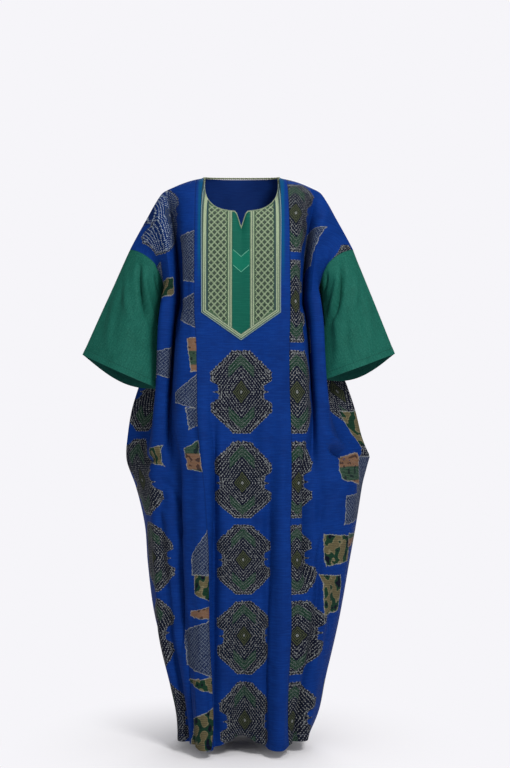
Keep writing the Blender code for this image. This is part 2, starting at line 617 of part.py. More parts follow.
def main():
    for old in list(bpy.data.objects):
        bpy.data.objects.remove(old, do_unlink=True)
    collection = bpy.data.collections.new(COLLECTION)
    bpy.context.scene.collection.children.link(collection)
    print_cloth = plain_material("printed_cloth", PRINT_BLUE)
    green_cloth = plain_material("green_cloth", SLEEVE_GREEN)
    placket_cloth = plain_material("placket_cloth", PLACKET_GREEN)
    braid = plain_material("braid", BRAID_GOLD, 0.7)

    half = len(column_places()) - 1
    seam = len(CENTRE_COLUMNS) - 1
    neck = CENTRE_COLUMNS.index(PLACKET_HALF_WIDTH)
    foot_row = YOKE_ROWS + 1
    centre = slice(half - seam, half + seam + 1)
    front = relaxed(whole_grid("front"), foot_row, "front")
    back = relaxed(whole_grid("back"), foot_row, "back")
    sleeves = {}
    for cuff in CUFFS:
        column = 0 if cuff.side < 0 else -1
        sleeves[cuff.side] = sleeve_grid(cuff, front[: foot_row + 1, column], back[: foot_row + 1, column])
    front_normals, back_normals, sleeve_normals = joined_normals(front, back, sleeves, half, neck, foot_row)

    panel_normals = front_normals[:, centre]
    panel = trimmed(front[:, centre], panel_normals, rows=[0], columns=[0, -1])
    at_neck = np.abs(np.arange(-seam, seam + 1)) < neck
    panel[0, at_neck] = front[0, centre][at_neck]
    wall_solid(collection, "front_centre", panel, panel_normals, CLOTH, print_cloth)
    for word, part in (("right", slice(0, half - seam + 1)), ("left", slice(half + seam, None))):
        grid, normals = front[:, part], front_normals[:, part]
        grid = trimmed(grid, normals, rows=[0], columns=[0, -1])
        wall_solid(collection, "front_side_" + word, grid, normals, CLOTH, print_cloth)
    rear = trimmed(back, back_normals, rows=[0], columns=[0, -1])
    wall_solid(collection, "back", rear[:, ::-1], back_normals[:, ::-1], CLOTH, print_cloth)

    for side, word in ((-1, "right"), (1, "left")):
        normals = sleeve_normals[side]
        grid = trimmed(sleeves[side], normals, rows=[0], ring=True)
        if side > 0:
            grid, normals = grid[:, ::-1], normals[:, ::-1]
        wall_solid(collection, "sleeve_" + word, grid, normals, CLOTH, green_cloth, ring=True)

    numbers = np.abs(np.arange(-seam, seam) + 0.5)
    row_numbers = np.arange(len(panel) - 1)[:, None]
    in_placket = (numbers < neck)[None, :] & (row_numbers < foot_row)
    outer_column = CENTRE_COLUMNS.index(PLACKET_HALF_WIDTH - BRAID_OUTER_WIDTH)
    strip_column = CENTRE_COLUMNS.index(STRIP_HALF_WIDTH)
    on_cloth = CLOTH + SEAM_GAP
    wall_solid(collection, "placket", panel, panel_normals, PLACKET_CLOTH, placket_cloth, on_cloth, in_placket)
    on_placket = on_cloth + PLACKET_CLOTH + SEAM_GAP
    frame = in_placket & ((numbers > outer_column)[None, :] | (row_numbers == foot_row - 1))
    wall_solid(collection, "braid_outer", panel, panel_normals, BRAID_HEIGHT, braid, on_placket, frame)
    signed = np.arange(-seam, seam) + 0.5
    for side, word in ((-1, "right"), (1, "left")):
        strip = (signed * side > strip_column) & (signed * side < strip_column + 1)
        inner = strip[None, :] & (row_numbers < foot_row - 1)
        inner_panel = trimmed(panel[:foot_row], panel_normals[:foot_row], rows=[-1])
        wall_solid(collection, "braid_inner_" + word, inner_panel, panel_normals[:foot_row], BRAID_HEIGHT,
                   braid, on_placket, inner[: foot_row - 1])

    columns = np.arange(half - neck, half + neck + 1)
    path, across, up = neck_path(front, front_normals, back, back_normals, columns)
    path = path + up * (CLOTH / 2)
    edging_solid(collection, "neck_edging", path, across, up, braid)


main()
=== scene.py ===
"""Grand boubou robe: the visual model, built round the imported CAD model.

The cloth is laid out again from the robe's own sections with finer steps, softer folds and creases, and every
piece of it carries its flat coordinates, from which the woven print is made. The placket's lattice, braids,
cords and the twisted neck edging are real raised geometry. Metres, +Z up, the front faces -Y.
"""
import math
from collections import namedtuple
from itertools import product

import bpy
import numpy as np
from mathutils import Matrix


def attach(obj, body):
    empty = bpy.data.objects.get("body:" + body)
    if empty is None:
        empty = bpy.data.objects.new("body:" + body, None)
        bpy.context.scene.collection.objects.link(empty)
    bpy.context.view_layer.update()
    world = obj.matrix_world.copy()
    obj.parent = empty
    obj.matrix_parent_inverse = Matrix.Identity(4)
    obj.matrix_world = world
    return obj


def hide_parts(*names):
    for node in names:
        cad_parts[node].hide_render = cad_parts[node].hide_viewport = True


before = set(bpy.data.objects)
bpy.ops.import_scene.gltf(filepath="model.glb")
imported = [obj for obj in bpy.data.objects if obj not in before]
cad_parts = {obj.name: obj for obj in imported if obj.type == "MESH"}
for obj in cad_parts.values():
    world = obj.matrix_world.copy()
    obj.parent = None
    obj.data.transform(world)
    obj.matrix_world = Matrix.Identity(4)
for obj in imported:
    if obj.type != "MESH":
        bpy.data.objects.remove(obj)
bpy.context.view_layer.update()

# The wearer's sides, as the sign of x and by name.
SIDES = ((-1, "right"), (1, "left"))

# Cloth and trims: how high each layer lies over the cloth's inner face.
CLOTH = 0.0020
CLOTH_INNER = 0.0008
PLACKET_FOOT = 0.0021
PLACKET_TOP = 0.0033
EDGING_WIDTH = 0.005
SEAM_GAP = 0.0003

# Neck opening: how wide, deep and far forward it is, and the same of the notch in its front. A higher
# squareness fills its corners more.
NECK_HALF_WIDTH = 0.100
NECK_DEPTH = 0.097
NECK_FORWARD = 0.083
NECK_SQUARENESS = 2.8
NECK_EASE = 0.7
NOTCH_DEPTH = 0.043
NOTCH_HALF_WIDTH = 0.019
NOTCH_FORWARD = 0.010
BACK_NECK_REACH = 0.062
BACK_NECK_RISE = 0.006
BACK_NECK_SQUARENESS = 2.4

# Front centre panel and the placket on it, as distances from the centre line
PANEL_HALF_WIDTH = 0.116
PLACKET_HALF_WIDTH = NECK_HALF_WIDTH
BRAID_OUTER_WIDTH = 0.015
STRIP_HALF_WIDTH = 0.022
BRAID_INNER_WIDTH = 0.013
PLACKET_TIP_Z = -0.424
PLACKET_CORNER_Z = -0.354

# Armhole, from the shoulder fold down to the underarm point
SHOULDER_END = (0.288, 0.0, -0.185)
UNDERARM = (0.202, 0.014, -0.280)
ARMHOLE_FRONT_REACH = 0.046
ARMHOLE_BACK_REACH = 0.036
# Above one, the armhole drops late; below one, its bulge is fuller.
ARMHOLE_DROP = 1.5
ARMHOLE_BULGE = 0.8
# How closely the armhole's own curve is kept to the armhole: a higher power fades sooner.
ARMHOLE_GRIP = {"front": 3.0, "back": 1.6}

# How the cloth leaves the shoulder fold: a lower roll is rounder, a higher curve reaches the chest sooner.
SHOULDER_ROLL = 0.58
CHEST_CURVE = 2.4

# Hem, with how far it is lifted in the middle of the front, over which spread, and at the side seams
HEM_Z = -1.446
HEM_CENTRE_LIFT = 0.029
HEM_CENTRE_SPREAD = 0.050
HEM_SIDE_LIFT = 0.009

# The solids' own grid is this many times finer here, along the rows and across the columns.
FINER_ROWS, FINER_COLUMNS = 6, 5
YOKE_ROWS = 9 * FINER_ROWS
YOKE_CROWDING = 1.4
SKIRT_ROWS = 130
# Columns between the places of the front: seam, chest, valley, inner and outer crest, hollow, tip.
SPAN_COLUMNS = [FINER_COLUMNS * count for count in (2, 2, 2, 1, 2, 2)]
SIDE_COLUMNS = sum(SPAN_COLUMNS)
CENTRE_STEP = 0.0042
# Where the chest lies close to the seam, it keeps at least this share of the way from seam to valley.
CHEST_SHARE = 0.3
# Above one, the columns of the back stand wider apart towards the side.
BACK_SPACING = 1.25
SLEEVE_ROWS = 56
SECTION_SAMPLES = 600
RIDGE_SAMPLES = 200
LEVEL_STEP = 0.006

# Smoothing of the outer yoke: how often, from which share of the side, and how far each time.
RELAXING_PASSES = {"front": 60, "back": 5}
RELAXED_FROM = {"front": 0.55, "back": 0.10}
RELAXING_STEP = 0.8
RELAXING_PARTS = 30
# The most that a wall may lengthen where two walls meet at a sharp seam, in thicknesses.
MITRE_LIMIT = 2.2

# Half the breadth of the folded crest that stands beside each valley of the front.
CREST_HALF_WIDTH = 0.008
# The back's station between its centre and its rear corner: its share of the way, and how far in it lies.
BACK_STATION_SHARE = 0.6
BACK_STATION_INSET = 0.006
# Folds die out over this distance before the tip, and over this share of their height at each end.
FOLD_SIDE_FADE = 0.05
FOLD_END_FADE = 0.25

# Each section of the body: z, then the places that the cloth passes on its way from the centre front
# round to the centre back. x is measured away from the centre line, y is negative in front.
# left_extra is how much farther the wearer's left side reaches at the hollow and the tip.
Section = namedtuple(
    "Section",
    "z front_y chest_x chest_y valley_x valley_y crest_x crest_y hollow_x hollow_y tip_x tip_y "
    "rear_x rear_y back_y left_extra",
)
SECTIONS = [Section(*row) for row in (
    (-0.280, -0.123, 0.122, -0.111, 0.149, 0.004, 0.185, -0.062, 0.192, -0.024, 0.204, 0.014,
     0.176, 0.082, 0.105, 0.000),
    (-0.370, -0.127, 0.147, -0.116, 0.169, -0.014, 0.195, -0.078, 0.200, -0.016, 0.224, 0.036,
     0.178, 0.092, 0.112, 0.000),
    (-0.460, -0.128, 0.157, -0.118, 0.176, -0.024, 0.198, -0.080, 0.202, -0.004, 0.241, 0.052,
     0.180, 0.100, 0.118, 0.003),
    (-0.540, -0.129, 0.162, -0.120, 0.181, -0.036, 0.201, -0.082, 0.204, 0.004, 0.268, 0.053,
     0.190, 0.105, 0.122, 0.007),
    (-0.600, -0.130, 0.164, -0.121, 0.184, -0.056, 0.204, -0.084, 0.220, 0.004, 0.286, 0.052,
     0.195, 0.110, 0.126, 0.009),
    (-0.660, -0.131, 0.162, -0.122, 0.184, -0.068, 0.205, -0.088, 0.238, 0.000, 0.296, 0.048,
     0.200, 0.112, 0.128, 0.013),
    (-0.730, -0.132, 0.158, -0.124, 0.181, -0.086, 0.206, -0.090, 0.254, -0.018, 0.299, 0.038,
     0.200, 0.114, 0.130, 0.026),
    (-0.800, -0.133, 0.158, -0.126, 0.182, -0.100, 0.209, -0.089, 0.247, -0.050, 0.275, 0.026,
     0.200, 0.115, 0.132, 0.038),
    (-0.900, -0.135, 0.156, -0.130, 0.184, -0.106, 0.208, -0.088, 0.234, -0.050, 0.251, 0.020,
     0.190, 0.117, 0.134, 0.046),
    (-1.000, -0.136, 0.150, -0.134, 0.180, -0.110, 0.204, -0.088, 0.228, -0.048, 0.243, 0.018,
     0.185, 0.118, 0.135, 0.036),
    (-1.150, -0.134, 0.128, -0.140, 0.165, -0.116, 0.190, -0.090, 0.208, -0.048, 0.222, 0.018,
     0.172, 0.120, 0.138, 0.030),
    (-1.300, -0.122, 0.113, -0.145, 0.141, -0.118, 0.157, -0.090, 0.167, -0.048, 0.175, 0.016,
     0.144, 0.122, 0.140, 0.042),
    (-1.370, -0.115, 0.106, -0.147, 0.131, -0.119, 0.144, -0.091, 0.150, -0.048, 0.155, 0.015,
     0.132, 0.122, 0.141, 0.045),
    (-1.446, -0.108, 0.100, -0.148, 0.124, -0.120, 0.138, -0.092, 0.146, -0.048, 0.152, 0.014,
     0.122, 0.122, 0.142, 0.017),
)]

# The outermost corner of each side's flap: its height, how far it stands out, and over which run.
Corner = namedtuple("Corner", "z reach run")
FLAP_CORNERS = {-1: Corner(-0.735, 0.001, 0.020), 1: Corner(-0.722, 0.010, 0.020)}

# The shoulder fold from the neck point to the top of the armhole.
Ridge = namedtuple("Ridge", "x z")
RIDGE = [Ridge(*row) for row in (
    (0.100, 0.000), (0.135, -0.008), (0.174, -0.023), (0.203, -0.039),
    (0.222, -0.065), (0.242, -0.101), (0.268, -0.148), (0.288, -0.185),
)]

# The sleeves hang from the armholes; their cuffs are flattened rings from a top corner to a bottom corner.
Cuff = namedtuple("Cuff", "side top bottom front_reach back_reach back_drop underarm_pull")
CUFFS = [Cuff(*row) for row in (
    (-1, (0.411, 0.000, -0.458), (0.215, -0.040, -0.545), 0.045, 0.050, 0.028, (0.222, -0.012, -0.330)),
    (1, (0.397, 0.000, -0.455), (0.215, -0.040, -0.522), 0.045, 0.050, 0.028, (0.222, -0.012, -0.330)),
)]

# Hanging folds: where each runs, as a distance from the centre line along the cloth, at its top and its
# foot; its half width, its top and foot, and how far it stands out (or in, where negative).
Fold = namedtuple("Fold", "face side place_top place_foot width z_top z_foot depth")
FOLDS = [Fold(*row) for row in (
    ("front", -1, 0.098, 0.098, 0.018, -0.440, -1.600, 0.015),
    ("front", -1, 0.064, 0.068, 0.010, -0.560, -1.600, -0.022),
    ("front", -1, 0.036, 0.034, 0.016, -0.760, -1.600, 0.007),
    ("front", -1, 0.176, 0.150, 0.014, -0.660, -1.240, -0.038),
    ("front", -1, 0.142, 0.136, 0.007, -1.060, -1.600, -0.010),
    ("front", -1, 0.235, 0.205, 0.018, -0.860, -1.600, 0.009),
    ("front", 1, 0.106, 0.104, 0.019, -0.560, -1.600, 0.012),
    ("front", 1, 0.070, 0.062, 0.013, -0.700, -1.600, -0.015),
    ("front", 1, 0.176, 0.168, 0.014, -0.660, -1.080, -0.028),
    ("front", 1, 0.240, 0.210, 0.020, -0.900, -1.600, 0.009),
    ("back", -1, 0.030, 0.028, 0.017, -0.340, -1.600, -0.021),
    ("back", -1, 0.105, 0.090, 0.020, -0.260, -1.600, 0.018),
    ("back", -1, 0.165, 0.140, 0.015, -0.420, -1.600, -0.023),
    ("back", -1, 0.225, 0.190, 0.022, -0.600, -1.600, 0.012),
    ("back", 1, 0.048, 0.050, 0.020, -0.300, -1.600, 0.018),
    ("back", 1, 0.118, 0.104, 0.016, -0.380, -1.600, -0.022),
    ("back", 1, 0.175, 0.155, 0.018, -0.320, -1.600, 0.016),
    ("back", 1, 0.240, 0.200, 0.024, -0.700, -1.600, -0.011),
)]

# Places of the front centre panel that its columns pass: the notch, the placket's strips and its braids.
CENTRE_PLACES = [
    0.0, 0.006, 0.012, STRIP_HALF_WIDTH, STRIP_HALF_WIDTH + BRAID_INNER_WIDTH, 0.052, 0.069,
    PLACKET_HALF_WIDTH - BRAID_OUTER_WIDTH, 0.0945, PLACKET_HALF_WIDTH, PANEL_HALF_WIDTH,
]


def finer(places, step):
    """The same places with others between them, at most a step apart."""
    out = [places[0]]
    for a, b in zip(places, places[1:]):
        count = math.ceil((b - a) / step)
        out += [a + (b - a) * (k + 1) / count for k in range(count)]
    return out


CENTRE_COLUMNS = finer(CENTRE_PLACES, CENTRE_STEP)
# The columns of the tip, of the panel's seam and of the placket's edge, counted from the centre; the
# panel's own columns in a whole front; and any grid's columns in turned order.
TIP_COLUMN = len(CENTRE_COLUMNS) + SIDE_COLUMNS - 1
SEAM_COLUMN = len(CENTRE_COLUMNS) - 1
NECK_COLUMN = CENTRE_COLUMNS.index(PLACKET_HALF_WIDTH)
PANEL_SPAN = slice(TIP_COLUMN - SEAM_COLUMN, TIP_COLUMN + SEAM_COLUMN + 1)
TURNED = slice(None, None, -1)
# Below the placket's tip, the panel's taper spreads over its whole width within this fall. Beyond the seam
# it dies out over the second distance.
TAPER_FALL, TAPER_FADE = 0.15, 0.10
# How far the panel's seam lies from the centre line along the cloth: the panel tapers a little to the hem.
Seam = namedtuple("Seam", "z right left")
SEAM_LINE = [Seam(*row) for row in (
    (-0.250, 0.128, 0.128), (-0.300, 0.122, 0.125), (-0.360, 0.117, 0.123),
    (-0.440, 0.112, 0.121), (-0.540, 0.111, 0.122), (-0.620, 0.113, 0.125),
    (-0.700, 0.119, 0.130), (-0.770, 0.121, 0.134), (-0.840, 0.118, 0.137),
    (-0.960, 0.112, 0.141), (-1.170, 0.110, 0.146), (-1.446, 0.103, 0.152),
)]


def hermite(keys, values, at):
    """Smooth curve through values at falling or rising keys, read at other keys."""
    keys = np.asarray(keys, float)
    values = np.asarray(values, float)
    if keys[0] > keys[-1]:
        keys, values = keys[::-1], values[::-1]
    slopes = np.gradient(values, keys, axis=0)
    at = np.clip(np.atleast_1d(at), keys[0], keys[-1])
    i = np.clip(np.searchsorted(keys, at) - 1, 0, len(keys) - 2)
    span = keys[i + 1] - keys[i]
    t = (at - keys[i]) / span
    if values.ndim > 1:
        span, t = span[:, None], t[:, None]
    return (
        (2 * t**3 - 3 * t**2 + 1) * values[i]
        + (t**3 - 2 * t**2 + t) * span * slopes[i]
        + (3 * t**2 - 2 * t**3) * values[i + 1]
        + (t**3 - t**2) * span * slopes[i + 1]
    )


def arc_length(points):
    """Distance along a polyline at each of its points."""
    return np.concatenate([[0.0], np.cumsum(np.linalg.norm(np.diff(points, axis=0), axis=1))])


def along_line(line, run, at):
    """Places on a polyline, given the distance along it of its points and of the places."""
    return np.stack([np.interp(at, run, line[:, k]) for k in range(line.shape[1])], axis=-1)


def smooth(share):
    return share * share * (3 - 2 * share)


def unit(vectors):
    return vectors / np.maximum(np.linalg.norm(vectors, axis=-1, keepdims=True), 1e-12)


def section_curve(row, side, face):
    """One half of a section, from its centre to its tip, as a dense polyline in x and y, and the numbers
    of its points where it passes its places."""
    extra = row.left_extra if side > 0 else 0.0
    corner = FLAP_CORNERS[side]
    extra += corner.reach * math.exp(-abs(row.z - corner.z) / corner.run)
    tip = (row.tip_x + extra, row.tip_y)
    if face == "front":
        half = [
            (0.0, row.front_y), (row.chest_x, row.chest_y), (row.valley_x, row.valley_y),
            (row.crest_x - CREST_HALF_WIDTH, row.crest_y), (row.crest_x + CREST_HALF_WIDTH, row.crest_y),
            (row.hollow_x + extra, row.hollow_y), tip,
        ]
    else:
        between = (row.rear_x * BACK_STATION_SHARE, row.back_y - BACK_STATION_INSET)
        half = [(0.0, row.back_y), between, (row.rear_x, row.rear_y), tip]
    mirror = [(-half[1][0], half[1][1])]
    stations = np.array(mirror + half)
    keys = arc_length(stations)
    dense = hermite(keys, stations, np.linspace(keys[1], keys[-1], SECTION_SAMPLES))
    passed = np.rint((keys[1:] - keys[1]) / (keys[-1] - keys[1]) * (SECTION_SAMPLES - 1)).astype(int)
    return dense, passed


def fold_window(z, top, foot):
    """A fold grows in below its top and dies out above its foot."""
    run = FOLD_END_FADE * (top - foot)
    rise = np.clip((top - z) / run, 0, 1)
    fall = np.clip((z - foot) / run, 0, 1)
    return smooth(rise) * smooth(fall)


def level_points(z, side, face, places):
    """x and y of the cloth at height z. Places are signed: positive ones are distances from the centre
    line along the cloth, and negative ones are shares of the way from the panel's seam to the tip."""
    row = Section(*[float(v) for v in hermite([s.z for s in SECTIONS], SECTIONS, z)[0]])
    curve, passed = section_curve(row, side, face)
    along = arc_length(curve)
    tangent = unit(np.gradient(curve, along, axis=0))
    normal = np.stack([-tangent[:, 1], tangent[:, 0]], axis=1)
    if face == "front":
        normal = -normal
    for fold in FOLDS:
        if fold.face != face or fold.side != side:
            continue
        share = np.clip((fold.z_top - z) / (fold.z_top - HEM_Z), 0, 1)
        place = fold.place_top + (fold.place_foot - fold.place_top) * share
        bump = fold.depth * fold_window(z, fold.z_top, fold.z_foot)
        fade = np.clip((along[-1] - along) / FOLD_SIDE_FADE, 0, 1)
        curve = curve + normal * (bump * fade * np.exp(-(((along - place) / fold.width) ** 2)))[:, None]
    along = arc_length(curve)
    shares, marks, power = [0.0, 1.0], [PANEL_HALF_WIDTH, along[-1]], BACK_SPACING
    if face == "front":
        marks = np.concatenate([[PANEL_HALF_WIDTH], along[passed[1:]]])
        marks[1] = max(marks[1], marks[0] + CHEST_SHARE * (marks[2] - marks[0]))
        shares, power = np.cumsum([0] + SPAN_COLUMNS) / SIDE_COLUMNS, 1.0
    seam = marks[0]
    if face == "front":
        seam = np.interp(-z, [-s.z for s in SEAM_LINE], [s.left if side > 0 else s.right for s in SEAM_LINE])
    share = np.clip(places / PANEL_HALF_WIDTH, 0, 1)
    beside = np.clip((places - PLACKET_HALF_WIDTH) / (PANEL_HALF_WIDTH - PLACKET_HALF_WIDTH), 0, 1)
    below = np.clip((PLACKET_TIP_Z - z) / TAPER_FALL, 0, 1)
    marks = np.array(marks, float)
    moved = seam - marks[0]
    centre = places + moved * (beside + (share - beside) * below)
    beyond = np.interp((-places * (places < 0)) ** power, shares, marks)
    beyond += moved * np.clip(1 - (beyond - marks[0]) / TAPER_FADE, 0, 1)
    at = np.where(places >= 0, centre, beyond)
    return along_line(curve, along, at), at


def column_places():
    """Columns of one half, from the centre to the tip: distances first, then shares past the seam."""
    shares = [-(k + 1) / SIDE_COLUMNS for k in range(SIDE_COLUMNS)]
    return np.array(CENTRE_COLUMNS + shares)


def ridge_curve():
    """The shoulder fold as a dense polyline in x and z, and the distance along it at each point."""
    ridge = np.array(RIDGE)
    keys = arc_length(ridge)
    dense = hermite(keys, ridge, np.linspace(0, keys[-1], RIDGE_SAMPLES))
    return dense, arc_length(dense)


def ridge_point(distance):
    """A point on the shoulder fold, by its distance along the cloth from the centre line."""
    dense, along = ridge_curve()
    x, z = along_line(dense, along, np.clip(distance - NECK_HALF_WIDTH, 0, along[-1]))
    return np.array([x, 0.0, z])


# How far the shoulder's end lies from the centre line along the cloth.
SHOULDER_REACH = NECK_HALF_WIDTH + ridge_curve()[1][-1]


def neck_point(x, face):
    """A point on the neckline at distance x from the centre line."""
    share = min(x / NECK_HALF_WIDTH, 1.0)
    if face == "back":
        bow = (1 - share**BACK_NECK_SQUARENESS) ** (1 / BACK_NECK_SQUARENESS)
        return np.array([x, BACK_NECK_REACH * bow, BACK_NECK_RISE * bow])
    bow = (1 - share**NECK_SQUARENESS) ** (1 / NECK_SQUARENESS)
    notch = 0.5 + 0.5 * math.cos(math.pi * min(x / NOTCH_HALF_WIDTH, 1.0))
    forward = NECK_FORWARD * bow**NECK_EASE + NOTCH_FORWARD * notch
    return np.array([x, -forward, -NECK_DEPTH * bow - NOTCH_DEPTH * notch])


def top_place(places):
    """How far from the centre line columns start: their places, or their shares of the way beyond it."""
    return np.where(places >= 0, places, PANEL_HALF_WIDTH - places * (SHOULDER_REACH - PANEL_HALF_WIDTH))


def top_point(place, face):
    """Where a column starts: on the neckline, or on the shoulder fold beyond it."""
    if 0 <= place < NECK_HALF_WIDTH:
        return neck_point(place, face)
    return ridge_point(top_place(place))


def armhole_point(q, face):
    """The armhole seam from the shoulder fold (q = 0) to the underarm point (q = 1)."""
    top, under = np.array(SHOULDER_END), np.array(UNDERARM)
    swing = math.sin(math.pi * q / 2)
    bulge = math.sin(math.pi * q) ** ARMHOLE_BULGE if 0 < q < 1 else 0.0
    reach = -ARMHOLE_FRONT_REACH if face == "front" else ARMHOLE_BACK_REACH
    x = top[0] + (under[0] - top[0]) * swing
    y = reach * bulge + under[1] * q
    z = top[2] + (under[2] - top[2]) * q**ARMHOLE_DROP
    return np.array([x, y, z])


def yoke_foot_z(place):
    """Height of the yoke's lowest row: the placket's pointed foot at the centre, the underarm at the side."""
    if place >= 0:
        share = min(place / PLACKET_HALF_WIDTH, 1.0)
        return PLACKET_TIP_Z + (PLACKET_CORNER_Z - PLACKET_TIP_Z) * share
    return PLACKET_CORNER_Z + (UNDERARM[2] - PLACKET_CORNER_Z) * -place


def ease(q):
    """How far the cloth has moved from the shoulder fold to the chest when it has fallen by q."""
    return (1 - (1 - q) ** CHEST_CURVE) ** SHOULDER_ROLL


def eased_back(move):
    """The fall by which the cloth has made a given share of its move to the chest."""
    return 1 - (1 - move ** (1 / SHOULDER_ROLL)) ** (1 / CHEST_CURVE)


def hem_lift(distance, end, face):
    """How far the hem is lifted: in the middle of the front, and a little towards the side seams."""
    side = np.clip((distance - 0.12) / 0.04 if face == "front" else 1 - (end - distance) / 0.06, 0, 1)
    middle = math.exp(-((distance / HEM_CENTRE_SPREAD) ** 2)) if face == "front" else 0.0
    return HEM_CENTRE_LIFT * middle + HEM_SIDE_LIFT * side * side * (3 - 2 * side)


class Half:
    """One half of the front or back, from which points are read by column and by fall."""

    def __init__(self, side, face):
        self.side, self.face = side, face
        self.places = column_places()
        self.z = np.arange(UNDERARM[2], HEM_Z - LEVEL_STEP, -LEVEL_STEP)
        found = [level_points(z, side, face, self.places) for z in self.z]
        self.xy = np.array([f[0] for f in found])
        self.at = np.array([f[1] for f in found])
        self.hem_along = found[-1][1]
        self.across = top_place(self.places) / SHOULDER_REACH
        self.tops = [top_point(p, face) for p in self.places]
        self.feet = [self.skirt_point(c, yoke_foot_z(p)) for c, p in enumerate(self.places)]

    def skirt_point(self, column, z):
        x = np.interp(-z, -self.z, self.xy[:, column, 0])
        y = np.interp(-z, -self.z, self.xy[:, column, 1])
        return np.array([x, y, z])

    def skirt_place(self, column, z):
        return np.interp(-z, -self.z, self.at[:, column])

    def yoke_point(self, column, q):
        """The yoke spans the shoulder, the armhole and its foot row."""
        fall = np.array([ease(q), ease(q), q])
        top, foot = self.tops[column], self.feet[column]
        point = top + (foot - top) * fall
        if self.face == "back":
            begun = eased_back(top[1] / foot[1])
            point[1] = foot[1] * ease(begun + (1 - begun) * q)
        plain_edge = self.tops[-1] + (self.feet[-1] - self.tops[-1]) * fall
        grip = self.across[column] ** ARMHOLE_GRIP[self.face]
        return point + (armhole_point(q, self.face) - plain_edge) * grip

    def grid(self):
        """Inner face: rows from the top to the hem, columns from the centre to the side, and each point's
        distance from the centre line along the cloth."""
        columns = range(len(self.places))
        top_at = top_place(self.places)
        foot_at = np.array([self.skirt_place(c, self.feet[c][2]) for c in columns])
        rows, places = [], []
        for j in range(YOKE_ROWS):
            share = (j / YOKE_ROWS) ** YOKE_CROWDING
            rows.append([self.yoke_point(c, share) for c in columns])
            places.append(top_at + (foot_at - top_at) * ease(share))
        for j in range(SKIRT_ROWS + 1):
            row, place = [], []
            for c in columns:
                lift = hem_lift(self.hem_along[c], self.hem_along[-1], self.face)
                z = self.feet[c][2] + (HEM_Z + lift - self.feet[c][2]) * j / SKIRT_ROWS
                row.append(self.skirt_point(c, z))
                place.append(self.skirt_place(c, z))
            rows.append(row)
            places.append(place)
        grid = np.array(rows)
        grid[:, :, 0] *= self.side
        return grid, np.array(places) * self.side


def whole_grid(face):
    """Both halves side by side, from the wearer's right side to the left one."""
    right, left = Half(-1, face).grid(), Half(1, face).grid()
    return tuple(np.concatenate([r[:, ::-1], l[:, 1:]], axis=1) for r, l in zip(right, left))


def relaxed(grid, face):
    """The grid with the outer part of its yoke smoothed between the shoulder, the armhole and the foot."""
    out = grid.copy()
    share = (np.abs(np.arange(-TIP_COLUMN, TIP_COLUMN + 1)) - TIP_COLUMN) / SIDE_COLUMNS + 1
    start = RELAXED_FROM[face]
    freedom = np.clip((share - start) / (1 - start), 0, 1)[1:-1, None]
    weights = np.array([FINER_ROWS, FINER_COLUMNS]) ** 2.0 / (4 * RELAXING_PARTS)
    for _ in range(RELAXING_PASSES[face] * RELAXING_PARTS):
        middle = out[1:YOKE_ROWS, 1:-1]
        along = out[: YOKE_ROWS - 1, 1:-1] + out[2 : YOKE_ROWS + 1, 1:-1] - 2 * middle
        across = out[1:YOKE_ROWS, :-2] + out[1:YOKE_ROWS, 2:] - 2 * middle
        out[1:YOKE_ROWS, 1:-1] += (along * weights[0] + across * weights[1]) * RELAXING_STEP * freedom
    return out


def summed_normals(grid, ring=False):
    """At each point of a grid, the sum of the normals of the cells round it, in the direction of rows
    cross columns."""
    right = np.roll(grid, -1, axis=1) if ring else grid[:, 1:]
    left = grid if ring else grid[:, :-1]
    cell = np.cross(right[1:] - left[:-1], right[:-1] - left[1:])
    out = np.zeros_like(grid)
    for rows in (slice(None, -1), slice(1, None)):
        if ring:
            out[rows] += cell + np.roll(cell, 1, axis=1)
        else:
            out[rows, :-1] += cell
            out[rows, 1:] += cell
    return out


def sleeve_grid(cuff, front_edge, back_edge):
    """Inner face of a sleeve: rows from the armhole to the cuff, a ring of columns from the shoulder fold
    down the front to the underarm and up the back."""
    root = np.concatenate([front_edge, back_edge[-2:0:-1]])
    count = len(front_edge) - 1
    top, bottom, pull = np.array([cuff.top, cuff.bottom, cuff.underarm_pull]) * (cuff.side, 1, 1)
    fold_run = arc_length(front_edge)
    rings = []
    for k in range(len(root)):
        front = k <= count
        step = k if front else 2 * count - k
        q = fold_run[step] / fold_run[-1]
        bow = math.sin(math.pi * q)
        reach = -cuff.front_reach if front else cuff.back_reach
        end = top + (bottom - top) * q + np.array([0.0, reach * bow, 0.0 if front else -cuff.back_drop * bow])
        middle = (root[k] + end) / 2
        underarm_middle = (front_edge[-1] + bottom) / 2
        control = middle + (pull - underarm_middle) * q**2
        w = (np.arange(SLEEVE_ROWS + 1) / SLEEVE_ROWS)[:, None]
        rings.append((1 - w) ** 2 * root[k] + 2 * w * (1 - w) * control + w**2 * end)
    return np.array(rings).transpose(1, 0, 2)


def round_neck(front, back):
    """One ring of a row of the front and a row of the back, from the wearer's right."""
    return np.concatenate([front, back[-2:0:-1]])


def neck_path(grids, normals):
    """The closed line of the neck edge, moved into the neck opening by half a cord."""
    line, up = [round_neck(front[0], back[0]) for front, back in (grids, normals)]
    before, after = unit(line - np.roll(line, 1, axis=0)), unit(np.roll(line, -1, axis=0) - line)
    along = unit(before + after)
    across = unit(np.cross(up, along))
    half_turn = np.clip(np.sum(before * along, axis=1), 0.5, 1.0)[:, None]
    away = EDGING_WIDTH / 2 + 3 * SEAM_GAP
    return line + across * away / half_turn, across, up


def mitred(*walls):
    """The vectors along a seam that stand one thickness out of each of the walls that meet there."""
    stack = unit(np.stack(walls, axis=-2))
    vectors = np.linalg.pinv(stack, rcond=0.001).sum(axis=-1)
    length = np.linalg.norm(vectors, axis=-1, keepdims=True)
    return vectors * np.minimum(1.0, MITRE_LIMIT / length)


